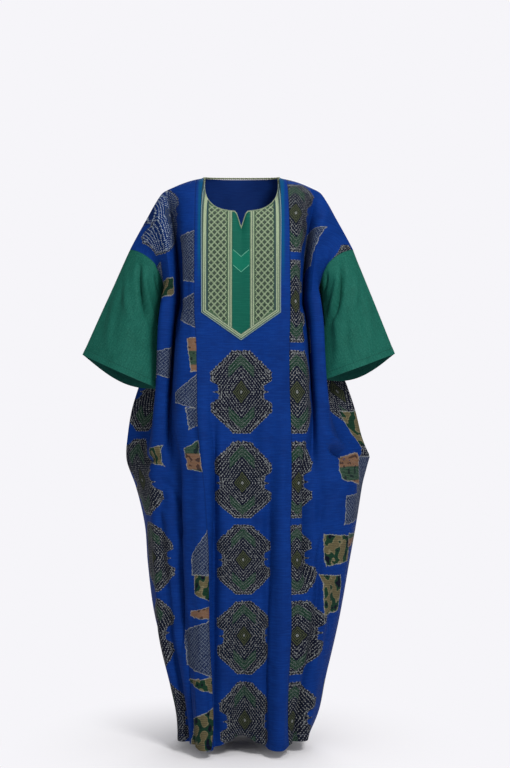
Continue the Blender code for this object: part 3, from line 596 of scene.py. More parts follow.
def joined_normals(front, back, sleeves):
    """Outward normals of the four tubes of cloth, shared where two or three of them meet at a seam."""
    front_sum, back_sum = summed_normals(front), -summed_normals(back)
    front_normals, back_normals, sleeve_normals = unit(front_sum), unit(back_sum), {}
    beyond_neck = np.abs(np.arange(-TIP_COLUMN, TIP_COLUMN + 1)) >= NECK_COLUMN
    ridge = mitred(front_sum[0, beyond_neck], back_sum[0, beyond_neck])
    front_normals[0, beyond_neck] = ridge
    back_normals[0, beyond_neck] = ridge
    for side, grid in sleeves.items():
        column = 0 if side < 0 else -1
        front_edge, back_edge = front_sum[:, column], back_sum[:, column]
        side_seam = mitred(front_edge, back_edge)
        front_normals[YOKE_ROWS:, column] = side_seam[YOKE_ROWS:]
        back_normals[YOKE_ROWS:, column] = side_seam[YOKE_ROWS:]
        sleeve_sum = summed_normals(grid, ring=True) * -side
        body = np.concatenate([front_edge[: YOKE_ROWS + 1], back_edge[1:YOKE_ROWS][::-1]])
        armhole = mitred(body, sleeve_sum[0])
        ends = [0, YOKE_ROWS]
        armhole[ends] = mitred(front_edge[ends], back_edge[ends], sleeve_sum[0, ends])
        front_normals[: YOKE_ROWS + 1, column] = armhole[: YOKE_ROWS + 1]
        back_normals[1:YOKE_ROWS, column] = armhole[YOKE_ROWS + 1 :][::-1]
        back_normals[ends, column] = armhole[ends]
        sleeve_normals[side] = unit(sleeve_sum)
        sleeve_normals[side][0] = armhole
    return front_normals, back_normals, sleeve_normals




# Creases pressed into the cloth, in its flat coordinates: from one end to the other, how far the
# middle bows aside, half width, and how far the crease stands out (or in, where negative).
Crease = namedtuple("Crease", "u0 v0 u1 v1 bow width depth")
FRONT_CREASES = [Crease(*row) for row in (
    (-0.198, 0.150, -0.188, 0.420, 0.004, 0.017, -0.0300),
    (-0.150, 0.14, -0.132, 0.44, 0.006, 0.011, -0.0030),
    (-0.122, 0.20, -0.118, 0.52, -0.004, 0.009, 0.0030),
    (-0.140, 0.50, -0.116, 0.92, 0.006, 0.011, -0.0045),
    (-0.052, 0.44, -0.060, 0.86, 0.004, 0.013, 0.0030),
    (-0.026, 0.46, -0.018, 0.84, -0.003, 0.011, -0.0024),
    (-0.074, 0.50, -0.070, 0.74, -0.003, 0.008, -0.0030),
    (-0.012, 0.86, -0.022, 1.40, 0.005, 0.013, 0.0036),
    (-0.082, 0.96, -0.084, 1.44, -0.003, 0.008, 0.0040),
    (-0.120, 1.24, -0.118, 1.44, 0.002, 0.006, -0.0046),
    (-0.106, 1.18, -0.102, 1.44, 0.002, 0.006, 0.0034),
    (-0.154, 1.20, -0.148, 1.44, -0.002, 0.006, 0.0044),
    (-0.345, 0.735, -0.250, 0.716, 0.000, 0.012, -0.0160),
    (-0.300, 0.76, -0.190, 0.92, 0.014, 0.012, -0.0085),
    (-0.330, 0.80, -0.215, 1.00, 0.012, 0.012, 0.0058),
    (-0.285, 0.96, -0.225, 1.30, -0.006, 0.014, -0.0056),
    (-0.200, 1.06, -0.186, 1.43, 0.005, 0.012, 0.0040),
    (0.199, 0.170, 0.189, 0.430, -0.004, 0.016, -0.0260),
    (0.050, 1.215, 0.104, 1.245, 0.003, 0.007, -0.0026),
    (0.060, 1.300, 0.106, 1.282, -0.003, 0.006, -0.0022),
    (0.150, 0.18, 0.132, 0.50, -0.006, 0.012, -0.0040),
    (0.122, 0.24, 0.120, 0.60, 0.004, 0.010, 0.0030),
    (0.136, 0.56, 0.122, 1.00, -0.005, 0.012, -0.0042),
    (0.056, 0.44, 0.050, 0.90, 0.004, 0.013, 0.0028),
    (0.030, 0.56, 0.038, 1.10, -0.004, 0.012, -0.0024),
    (0.022, 0.96, 0.018, 1.42, 0.004, 0.013, 0.0032),
    (0.088, 1.00, 0.082, 1.44, -0.004, 0.009, 0.0036),
    (0.150, 1.14, 0.142, 1.44, 0.002, 0.008, -0.0044),
    (0.372, 0.726, 0.262, 0.694, 0.000, 0.012, -0.0280),
    (0.368, 0.708, 0.262, 0.660, 0.000, 0.010, 0.0090),
    (0.366, 0.752, 0.250, 0.800, -0.006, 0.012, 0.0080),
    (0.330, 0.790, 0.235, 0.960, -0.010, 0.013, 0.0062),
    (0.300, 0.940, 0.236, 1.340, 0.006, 0.014, -0.0056),
    (0.196, 1.060, 0.182, 1.430, -0.005, 0.012, 0.0038),
)]
BACK_CREASES = [Crease(*row) for row in (
    (-0.010, 0.10, -0.016, 0.62, 0.006, 0.016, -0.0030),
    (-0.075, 0.06, -0.062, 0.52, -0.006, 0.015, 0.0026),
    (-0.140, 0.12, -0.128, 0.70, 0.007, 0.014, -0.0030),
    (-0.205, 0.20, -0.190, 0.66, -0.005, 0.014, 0.0030),
    (-0.055, 0.62, -0.050, 1.42, 0.007, 0.014, 0.0032),
    (-0.128, 0.80, -0.118, 1.43, -0.006, 0.013, -0.0032),
    (-0.190, 0.74, -0.165, 1.43, 0.006, 0.013, 0.0034),
    (-0.300, 0.76, -0.190, 1.00, 0.012, 0.014, -0.0040),
    (0.020, 0.08, 0.028, 0.56, 0.005, 0.015, 0.0026),
    (0.090, 0.14, 0.078, 0.64, -0.006, 0.014, -0.0030),
    (0.150, 0.06, 0.142, 0.50, 0.006, 0.015, 0.0028),
    (0.022, 0.70, 0.018, 1.43, -0.006, 0.015, -0.0030),
    (0.086, 0.66, 0.080, 1.43, 0.006, 0.013, 0.0030),
    (0.150, 0.82, 0.138, 1.43, -0.006, 0.014, -0.0032),
    (0.212, 0.70, 0.180, 1.43, 0.006, 0.013, 0.0032),
    (0.320, 0.76, 0.200, 1.02, -0.012, 0.014, -0.0040),
)]
# On a sleeve u is the share of the way round it (0 at the shoulder fold, a half at the underarm) and v the
# share of the way down it, so bow and width are shares too; depth stays in metres.
SLEEVE_CREASES = [Crease(*row) for row in (
    (0.15, 0.06, 0.43, 0.57, -0.014, 0.022, -0.0150),
    (0.31, 0.04, 0.46, 0.20, -0.020, 0.018, -0.0080),
    (0.21, 0.08, 0.48, 0.52, -0.012, 0.022, 0.0070),
    (0.09, 0.20, 0.30, 0.62, -0.020, 0.030, 0.0055),
    (0.08, 0.30, 0.20, 0.96, -0.03, 0.034, 0.0045),
    (0.27, 0.50, 0.31, 1.00, 0.03, 0.030, -0.0050),
    (0.39, 0.44, 0.42, 0.98, -0.02, 0.028, 0.0048),
    (0.88, 0.08, 0.51, 0.31, 0.07, 0.022, -0.0130),
    (0.60, 0.30, 0.70, 0.92, -0.05, 0.035, 0.0060),
    (0.72, 0.34, 0.84, 0.96, 0.04, 0.032, -0.0060),
    (0.90, 0.12, 0.94, 0.96, 0.03, 0.030, 0.0042),
)]
# Slack of the cloth: wavelengths in metres, and how far it stands out of true.
SLACK_SEED = 41
SLACK_WAVES = 9
SLACK_LENGTHS = (0.045, 0.150)
SLACK_DEPTH = 0.0013
SLACK_LOST_UNDER_PLACKET = 0.85
# About how far it is round a sleeve and down it.
SLEEVE_GIRTH, SLEEVE_LENGTH = 0.45, 0.30
# The turned hem: its depth, how much higher and lower its faces lie, and over which fall they step out.
HEM_TURN = 0.018
HEM_THICKER = 0.0006
HEM_TURN_STEP = 0.003
EDGE_FADE = 0.035


def pressed(creases, u, v, stretch=1.0):
    """How far the creases move each point along its normal."""
    out = np.zeros_like(u)
    for c in creases:
        start, run = np.array([c.u0, c.v0 * stretch]), np.array([c.u1 - c.u0, (c.v1 - c.v0) * stretch])
        length = np.hypot(*run)
        along, aside = run / length, np.array([run[1], -run[0]]) / length
        du, dv = u - start[0], v * stretch - start[1]
        t = np.clip((du * along[0] + dv * along[1]) / length, 0, 1)
        ease_in = np.sin(math.pi * t) ** 0.8
        d = du * aside[0] + dv * aside[1] - c.bow * np.sin(math.pi * t)
        past = np.maximum(0, np.abs((du * along[0] + dv * along[1]) / length - 0.5) - 0.5)
        out += c.depth * ease_in * np.exp(-((d / c.width) ** 2)) * np.exp(-((past / 0.1) ** 2))
    return out


def slack(u, v, seed):
    """A gentle uneven waviness, the same each run."""
    draws = np.random.default_rng(seed)
    out = np.zeros_like(u)
    for _ in range(SLACK_WAVES):
        length = draws.uniform(*SLACK_LENGTHS)
        turn, phase = draws.uniform(-0.9, 0.9), draws.uniform(0, 2 * math.pi)
        wave = 2 * math.pi / length
        out += np.sin(wave * (u * math.cos(turn) + v * 0.45 * math.sin(turn)) + phase)
    return out * SLACK_DEPTH / math.sqrt(SLACK_WAVES)


def fall_of(grid):
    """The v coordinate: the fall below the origin on the hanging cloth, and along the cloth above it."""
    v = -grid[:, :, 2].copy()
    for j in range(YOKE_ROWS - 1, -1, -1):
        v[j] = v[j + 1] - np.linalg.norm(grid[j + 1] - grid[j], axis=1)
    return v


def edge_run(u, v):
    """How free each point is to move: 0 at the outer edges of a front or back, 1 well inside it."""
    inside = np.minimum(np.abs(u - u[:, :1]), np.abs(u[:, -1:] - u))
    below = np.abs(v - v[:1])
    return np.clip(inside / EDGE_FADE, 0, 1) * np.clip(below / EDGE_FADE, 0, 1)


def new_object(name, vertices, faces, materials, slots, angle, flat, look):
    """A mesh object with smooth faces and sharp corners, each face on its own material slot. flat and look
    are the vectors of its points that the materials read."""
    mesh = bpy.data.meshes.new(name)
    mesh.from_pydata(np.asarray(vertices).tolist(), [], [list(map(int, f)) for f in faces])
    for material in materials:
        mesh.materials.append(material)
    mesh.polygons.foreach_set("use_smooth", [True] * len(mesh.polygons))
    mesh.polygons.foreach_set("material_index", np.asarray(slots, int))
    for key, values in (("flat", flat), ("look", look)):
        attribute = mesh.attributes.new(key, "FLOAT_VECTOR", "POINT")
        attribute.data.foreach_set("vector", np.ascontiguousarray(values, float).ravel())
    mesh.set_sharp_from_angle(angle=math.radians(angle))
    made = bpy.data.objects.new(name, mesh)
    bpy.context.scene.collection.objects.link(made)
    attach(made, "root")
    return made


def wall_faces(quads, count):
    """The faces of a closed wall: quads on its outer side, the same turned over on its inner side, whose
    points lie count further on, and a rim round their open edges."""
    edges = {}
    for a, b in ((0, 1), (1, 2), (2, 3), (3, 0)):
        edges.update(dict.fromkeys(zip(quads[:, a].tolist(), quads[:, b].tolist())))
    rim = [[q, p, p + count, q + count] for p, q in edges if (q, p) not in edges]
    return [*quads.tolist(), *(quads[:, ::-1] + count).tolist(), *rim]


# Faces of a cloth that meet at more than this angle have a sharp edge between them.
SHELL_CORNER_ANGLE = 50


def shell(name, grid, normals, low, high, materials, flat, look, ring=False, cells=None):
    """A closed wall over a grid, or over some of its cells. The outer side has the first material and the
    inner side the second."""
    rows, columns = grid.shape[:2]
    spans = columns if ring else columns - 1
    count = rows * columns
    high, low = [np.broadcast_to(np.asarray(d, float), (rows, columns))[..., None] for d in (high, low)]
    number = np.arange(count).reshape(rows, columns)
    j, c = np.meshgrid(np.arange(rows - 1), np.arange(spans), indexing="ij")
    if cells is not None:
        j, c = j[cells], c[cells]
    j, c = j.ravel(), c.ravel()
    n = (c + 1) % columns
    quads = np.stack([number[j, c], number[j + 1, c], number[j + 1, n], number[j, n]], axis=1)
    faces = wall_faces(quads, count)
    slots = [0] * len(quads) + [1] * len(quads) + [0] * (len(faces) - 2 * len(quads))
    points = np.concatenate([(grid + normals * high).reshape(-1, 3), (grid + normals * low).reshape(-1, 3)])
    flats, looks = np.tile(flat.reshape(-1, 3), (2, 1)), np.tile(look.reshape(-1, 3), (2, 1))
    kept = np.unique(np.array(faces[: 2 * len(quads)]).ravel())
    place = np.full(2 * count, -1)
    place[kept] = np.arange(len(kept))
    faces = [[int(place[k]) for k in f] for f in faces]
    flats, looks = flats[kept], looks[kept]
    return new_object(name, points[kept], faces, materials, slots, SHELL_CORNER_ANGLE, flats, looks)


# Rows of the woven medallions, by the v of their middles.
MEDALLION_ROWS = [0.095, 0.325, 0.553, 0.781, 0.972, 1.162, 1.378]
PRINT_REPEAT = 0.2155


def print_fall(v):
    """v counted in the print's own repeats, which are a little uneven down the cloth."""
    numbers = np.arange(len(MEDALLION_ROWS))
    out = np.interp(v, MEDALLION_ROWS, numbers)
    out = np.where(v < MEDALLION_ROWS[0], (v - MEDALLION_ROWS[0]) / PRINT_REPEAT, out)
    out = np.where(v > MEDALLION_ROWS[-1], numbers[-1] + (v - MEDALLION_ROWS[-1]) / PRINT_REPEAT, out)
    return out * PRINT_REPEAT


def vectors(*parts):
    return np.stack([np.broadcast_to(np.asarray(p, float), parts[0].shape) for p in parts], axis=-1)


def linear(red, green, blue):
    """A colour given as it looks on a screen (0 to 255), in the renderer's own linear values."""
    shares = [c / 255 for c in (red, green, blue)]
    return tuple(s / 12.92 if s <= 0.04045 else ((s + 0.055) / 1.055) ** 2.4 for s in shares)


# Colours of the cloth and its print.
BLUE = linear(6, 47, 119)
BLUE_DEEP = linear(3, 34, 94)
BLUE_SLUB = linear(24, 72, 148)
BLUE_FADED = linear(18, 62, 134)
BLUE_SHADED = linear(4, 34, 90)
BLUE_WORN = linear(22, 70, 146)
BLUE_HIGH = linear(8, 40, 98)
BLUE_INSIDE = linear(26, 44, 92)
BLUE_SHEEN = linear(120, 150, 210)
INK = linear(8, 20, 52)
NAVY = linear(9, 12, 26)
NAVY_SOFT = linear(22, 28, 44)
TEAL = linear(0, 78, 112)
PALE = linear(142, 145, 144)
PALE_HIGH = linear(178, 192, 196)
NET_PALE = linear(118, 130, 144)
NET_GROUND = linear(14, 30, 70)
HEART_GROUND = linear(26, 32, 24)
HEART_LINE = linear(84, 88, 62)
GREEN_LEAF = linear(24, 56, 36)
LEAF_LINE = linear(122, 114, 86)
TAN = linear(100, 92, 64)
RUST = linear(112, 80, 56)
# Colours of the sleeves.
GREEN = linear(24, 90, 77)
GREEN_DEEP = linear(16, 76, 64)
GREEN_SLUB = linear(46, 110, 96)
GREEN_DARK_FLECK, GREEN_LIGHT_FLECK = linear(10, 60, 50), linear(52, 116, 100)
GREEN_SHADED, GREEN_WORN = linear(12, 62, 52), linear(44, 106, 92)
GREEN_INSIDE = linear(12, 52, 54)
GREEN_SHEEN = linear(130, 190, 170)
# Colours of the placket, its braids and its cords.
STRIP_GREEN = linear(8, 86, 70)
STRIP_DEEP = linear(12, 78, 64)
STRIP_BRIGHT = linear(8, 100, 79)
STRIP_SLUB = linear(40, 124, 102)
STRIP_SHEEN = linear(150, 190, 170)
LATTICE_GROUND, LATTICE_DEEP = linear(70, 96, 70), linear(52, 78, 56)
PLACKET_EDGE = linear(38, 62, 66)
DIAMOND, DIAMOND_DARK = linear(34, 54, 36), linear(18, 34, 24)
SAGE, SAGE_DARK = linear(166, 182, 148), linear(66, 84, 60)
SAGE_COOL, SAGE_COOL_DARK = linear(128, 156, 160), linear(44, 66, 88)
CORD_GOLD, CORD_GOLD_DARK = linear(140, 150, 112), linear(70, 78, 50)
OLIVE, OLIVE_DARK = linear(96, 104, 70), linear(46, 52, 34)
MINT, MINT_DARK = linear(92, 176, 148), linear(40, 120, 96)
BAND, BAND_DARK = linear(66, 88, 72), linear(40, 60, 52)


class Value:
    """A socket of a material's nodes that takes part in sums."""

    def __init__(self, net, socket):
        self.net, self.socket = net, socket

    def __abs__(self):
        return self.net.math("ABSOLUTE", self)


def joining(operation, turned):
    """A method of Value that joins it with another value, on its right or, turned, on its left."""
    def join(self, other):
        return self.net.math(operation, *((other, self) if turned else (self, other)))
    return join


for word, operation in (("add", "ADD"), ("sub", "SUBTRACT"), ("mul", "MULTIPLY"), ("truediv", "DIVIDE")):
    setattr(Value, f"__{word}__", joining(operation, False))
    setattr(Value, f"__r{word}__", joining(operation, True))


class Net:
    """A material's nodes, built by sums and a few textures."""

    def __init__(self, name, viewport):
        self.material = bpy.data.materials.new(name)
        self.material.use_nodes = True
        self.tree = self.material.node_tree
        self.shader = self.tree.nodes["Principled BSDF"].inputs
        self.material.diffuse_color = (*viewport, 1.0)

    def put(self, value, socket):
        if isinstance(value, Value):
            self.tree.links.new(value.socket, socket)
        elif isinstance(value, tuple) and len(value) == 3 and socket.type == "RGBA":
            socket.default_value = (*value, 1.0)
        else:
            socket.default_value = value

    def node(self, kind, output=0, inputs=None, **settings):
        made = self.tree.nodes.new(kind)
        for key, value in settings.items():
            setattr(made, key, value)
        for key, value in (inputs or {}).items():
            self.put(value, made.inputs[key])
        return Value(self, made.outputs[output])

    def math(self, operation, *values, clamp=False):
        inputs = dict(enumerate(values))
        return self.node("ShaderNodeMath", inputs=inputs, operation=operation, use_clamp=clamp)

    def frac(self, a):
        return self.math("FRACT", a)

    def cosine(self, a):
        return self.math("COSINE", a)

    def chain(self, operation, values):
        out = values[0]
        for value in values[1:]:
            out = self.math(operation, out, value)
        return out

    def low(self, *values):
        return self.chain("MINIMUM", values)

    def high(self, *values):
        return self.chain("MAXIMUM", values)

    def over(self, a, edge, soft):
        """1 where a is over the edge, 0 below it, over a soft step."""
        return self.math("MULTIPLY_ADD", a, 1 / soft, 0.5 - edge / soft, clamp=True)

    def under(self, a, edge, soft):
        return self.math("MULTIPLY_ADD", a, -1 / soft, 0.5 + edge / soft, clamp=True)

    def between(self, a, lowest, highest, soft):
        return self.over(a, lowest, soft) * self.under(a, highest, soft)

    def lines(self, a, half, soft):
        """Lines down the middle of every step of a, by their half width as a share of the step."""
        return self.under(abs(self.frac(a) - 0.5), half, soft)

    def mix(self, share, first, second):
        return self.node("ShaderNodeMix", 2, {0: share, 6: first, 7: second}, data_type="RGBA")

    def laid(self, colour, *layers):
        """A colour with others laid over it, each by its share."""
        for share, other in layers:
            colour = self.mix(share, colour, other)
        return colour

    def coordinates(self, attribute):
        found = self.node("ShaderNodeAttribute", 1, attribute_name=attribute)
        parts = self.tree.nodes.new("ShaderNodeSeparateXYZ")
        self.tree.links.new(found.socket, parts.inputs[0])
        return [Value(self, parts.outputs[k]) for k in range(3)]

    def vector(self, x, y, z=0.0):
        return self.node("ShaderNodeCombineXYZ", inputs={0: x, 1: y, 2: z})

    def noise(self, x, y, scale, detail=2.0, roughness=0.5):
        inputs = {"Vector": self.vector(x, y), "Scale": scale, "Detail": detail, "Roughness": roughness}
        return self.node("ShaderNodeTexNoise", inputs=inputs)

    def finish(self, colour, height, roughness, strength, distance, sheen, tint, specular):
        raised = {"Strength": strength, "Distance": distance, "Height": height}
        read = {
            "Base Color": colour, "Roughness": roughness, "Specular IOR Level": specular,
            "Sheen Weight": sheen, "Sheen Roughness": 0.45, "Sheen Tint": tint, "Metallic": 0.0,
            "Normal": self.node("ShaderNodeBump", inputs=raised),
        }
        for key, value in read.items():
            self.put(value, self.shader[key])
        return self.material


def weave(net, u, v):
    """Of a plain woven cloth: its thread relief, slub lines, cloudy wear, the lengthwise threads that
    stand out, and streaks along the weft."""
    clouds = net.noise(u, v, 14.0, 3.0, 0.55)
    threads = net.cosine(u * 3900.0) * net.cosine(v * 3900.0)
    across = net.noise(u * 16.0, v * 620.0, 1.0, 2.0, 0.6)
    down = net.noise(u * 520.0, v * 9.0, 1.0, 1.0, 0.5)
    streaks = net.noise(u * 34.0, v * 300.0, 1.0, 2.0, 0.55)
    slubs = net.over(across, 0.60, 0.14)
    relief = threads * 0.25 + slubs * 0.9 + down * 0.5 + across * 0.7 + streaks * 0.8
    return relief, slubs, clouds, down, streaks


# The half width of a seam's groove, where the row of stitches lies over a hem, and how long they are.
GROOVE_HALF = 0.0016
STITCH_ROW, STITCH_LENGTH = 0.016, 0.0042


def sewn(net, colour, relief, u, seam, hem, stitch_half, groove_laid, stitch_laid):
    """A cloth's colour and relief with the groove of its seam and the stitches of its hem, each laid on
    with a share and a colour."""
    groove = net.under(abs(seam), GROOVE_HALF, 0.0016)
    row = net.under(abs(hem - STITCH_ROW), stitch_half, 0.0006)
    stitch = row * net.over(net.frac(u / STITCH_LENGTH), 0.35, 0.1)
    colour = net.laid(
        colour, (groove * groove_laid[0], groove_laid[1]), (stitch * stitch_laid[0], stitch_laid[1])
    )
    return colour, relief - groove * 3.0 - stitch * 2.0


def scribble(net, x, y, pitch, rough, drift):
    """Pale threads in nested diamonds, broken into dots and dashes as woven ones are: their strength."""
    ring, across = (abs(x) + abs(y)) / pitch, (abs(x) - abs(y)) / (pitch * 0.94)
    thread = net.lines(ring, 0.12, 0.10)
    dots = thread * net.lines(across, 0.20, 0.14)
    runs = thread * net.over(rough, 0.60, 0.05) * 0.7
    bars = net.lines(across + 0.5, 0.11, 0.10) * net.over(drift, 0.60, 0.05) * 0.7
    return net.high(dots, runs, bars)


def net_of_dots(net, x, y, pitch, rough):
    """The pale diagonal net with dark holes that fills the patches: its strength."""
    first, second = net.frac((x + y) / pitch), net.frac((x - y) / pitch)
    lines = [net.over(abs(f - 0.5), 0.40, 0.10) for f in (first, second)]
    dots = net.under(abs(first - 0.5), 0.09, 0.10) * net.under(abs(second - 0.5), 0.09, 0.10)
    broken = net.high(lines[0] * net.over(rough, 0.46, 0.1), lines[1] * net.under(rough, 0.58, 0.1))
    return net.low(broken * 0.75 + dots * 0.8, 1.0)


# The medallion's half width and half height, and how deep its waist is. Its ends slope in a straight line
# from each lobe's outer corner to a short flat top, and a blunt spike stands at each end of its waist.
MEDALLION_HALF = (0.0780, 0.0985)
MEDALLION_WAIST, WAIST_HALF_HEIGHT = 0.0580, 0.0210
MEDALLION_SLOPE = (0.1290, 1.09)
SPIKE_SHORTER, SPIKE_SLOPE = 0.008, 2.6
# The diamond in its middle, and the two fields of chevrons above and below it.
HEART_HALF, HEART_WIDENING, HEART_PITCH = 0.0290, 1.28, 0.0072
CROWN_FROM, CROWN_TO, CROWN_HALF_WIDTH, CROWN_PITCH = 0.0640, 0.0900, 0.0330, 0.0094
SCRIBBLE_PITCH = 0.0102
EDGE_LOBES, EDGE_BEADS = 34.0, 74.0


def medallion(net, x, y, rough, drift, high_up):
    """A lobed medallion round x = y = 0: its mask and its colour. The high ones are blue and plainer."""
    x, y = x + (drift - 0.5) * 0.0055, y + (rough - 0.5) * 0.0050
    ax, ay = abs(x), abs(y)
    slope = MEDALLION_SLOPE[0] - ay * MEDALLION_SLOPE[1]
    lobe = net.over(ay, WAIST_HALF_HEIGHT, 0.012) * (MEDALLION_HALF[0] - MEDALLION_WAIST) + MEDALLION_WAIST
    spike = MEDALLION_HALF[0] - SPIKE_SHORTER - ay * SPIKE_SLOPE
    angle = net.math("ARCTAN2", y, x)
    scallop = net.cosine(angle * EDGE_LOBES) * 0.0004 + (rough - 0.5) * 0.0084
    depth = net.low((slope - ax) * 0.72, net.high(lobe, spike) - ax, MEDALLION_HALF[1] - ay) + scallop
    beaded = net.low(net.cosine(angle * EDGE_BEADS) * 0.6 + 0.55, 1.0)
    beads = net.between(depth, 0.0003, 0.0021, 0.0011) * beaded
    rim = net.between(depth, 0.0066, 0.0082, 0.0014) * net.over(rough, 0.47, 0.06) * 0.8
    heart, crown = ax * HEART_WIDENING + ay, ay + ax * 0.92
    outside_heart = net.over(heart, HEART_HALF, 0.002)
    fibres = scribble(net, x * HEART_WIDENING, y, SCRIBBLE_PITCH, rough, drift)
    around_heart = net.mix(drift * 0.6, NAVY, NAVY_SOFT)
    ground = net.mix(net.over(heart, HEART_HALF - 0.001, 0.002), HEART_GROUND, around_heart)
    ground = net.mix(high_up * 0.75, ground, BLUE_HIGH)
    in_crown = net.between(crown, CROWN_FROM, CROWN_TO, 0.002) * net.under(ax, CROWN_HALF_WIDTH, 0.003)
    crown_line = net.lines(crown / CROWN_PITCH, 0.10, 0.12) * net.over(rough, 0.44, 0.1)
    heart_line = net.lines(heart / HEART_PITCH, 0.16, 0.12) * net.under(heart, HEART_HALF, 0.001)
    colour = net.laid(
        ground,
        (fibres * outside_heart, net.mix(high_up, PALE, PALE_HIGH)),
        (in_crown * 0.74 * (1.0 - high_up), net.mix(crown_line * 0.50, GREEN_LEAF, PALE)),
        (heart_line * 0.75, HEART_LINE),
        (net.under(abs(heart - 0.0030), 0.0016, 0.0016) * 0.7, PALE),
        (rim, PALE),
        (net.under(depth, 0.0042, 0.0012) * 0.85, NAVY),
        (beads * 0.85, PALE),
    )
    return net.over(depth, 0.0, 0.0010), colour


# Patches of the woven print beside a seam: where they begin and end across and down the cloth, how much
# their upper and lower ends slant, what fills them (a net, a stack of rust and leaf blocks, or leaves), and
# how much they narrow down their length.
Patch = namedtuple("Patch", "s0 s1 v0 v1 slant_top slant_foot fill taper", defaults=(0.0,))
NET_PITCH = 0.0092
BLOCK_PITCH, BLOCK_SHIFT = 0.074, 0.369
# What the fills read of a place: where it lies, the same a little displaced, and three uneven values.
Place = namedtuple("Place", "x y px py rough drift wander")


def patch_reach(net, patch, x, y):
    """How far inside a patch a place lies, negative outside."""
    top = y - patch.v0 - (x - patch.s0) * patch.slant_top
    foot = (x - patch.s0) * -patch.slant_foot + patch.v1 - y
    outer = patch.s1 - x - (y - patch.v0) * patch.taper
    return net.low(top, foot, x - patch.s0, outer)


def net_fill(net, at):
    dots = net_of_dots(net, at.px, at.py, NET_PITCH, at.rough)
    return net.mix(dots * 0.9, net.mix(at.drift * 0.6, NET_GROUND, NAVY), NET_PALE)


def block_fill(net, at):
    bars = net.frac(at.y / BLOCK_PITCH + BLOCK_SHIFT)
    return net.laid(
        RUST,
        (net.between(bars, 0.45, 0.92, 0.04), GREEN_LEAF),
        (net.over(net.frac(at.py / 0.0036), 0.62, 0.3) * 0.20, PALE),
        (net.over(at.wander, 0.58, 0.03) * 0.7, NAVY),
    )


def leaf_fill(net, at):
    blobs = net.noise(at.x, at.y * 0.62, 52.0, 1.0, 0.4)
    return net.laid(
        TAN,
        (net.over(blobs, 0.50, 0.03), GREEN_LEAF),
        (net.between(blobs, 0.475, 0.505, 0.02), LEAF_LINE),
        (net.over(net.frac(at.py / 0.0046), 0.55, 0.3) * 0.42, NAVY),
        (net.over(blobs, 0.64, 0.02), NAVY),
    )


FILLS = {"net": net_fill, "blocks": block_fill, "leaves": leaf_fill}


def patchwork(net, patches, x, y, rough, drift):
    """All the patches of one cloth: mask and colour."""
    reach = {}
    for patch in patches:
        found = patch_reach(net, patch, x, y)
        reach[patch.fill] = net.high(reach[patch.fill], found) if patch.fill in reach else found
    wander = net.noise(x, y, 62.0, 1.0, 0.5)
    uneven = (rough - 0.5) * 0.006 + (wander - 0.5) * 0.008
    px, py = x + (drift - 0.5) * 0.0035, y + (rough - 0.5) * 0.0035
    at = Place(x, y, px, py, rough, drift, wander)
    masks, colour = [], NAVY
    for fill, found in reach.items():
        found = found + uneven
        masks.append(net.over(found, 0.0, 0.0010))
        rim = net.between(found, 0.0002, 0.0020, 0.0012) * net.over(rough, 0.40, 0.1) * 0.8
        colour = net.mix(masks[-1], colour, net.mix(rim, FILLS[fill](net, at), PALE))
    return net.high(*masks), colour


# How far the front panel's medallions lean aside down its length, and from which fall; how far the
# medallions of every cloth narrow, for each metre below a fall and at most; from which fall those of the
# wearer's left are wider; and above which fall those of the wearer's right are blue.
LEAN = (0.0115, 0.50)
NARROWING = (0.17, 0.55, 0.14)
WIDE_BELOW, WIDE_SHARE = 1.02, 0.28
HIGH_ABOVE = 0.27
# The teal edge beside the placket: its places from the centre line, and how far down it goes.
TEAL_BESIDE, TEAL_FOOT = (0.096, 0.109), 0.245
# Where there is more than one column, how near its middle the later ones reach.
HALF_COLUMN = 0.075


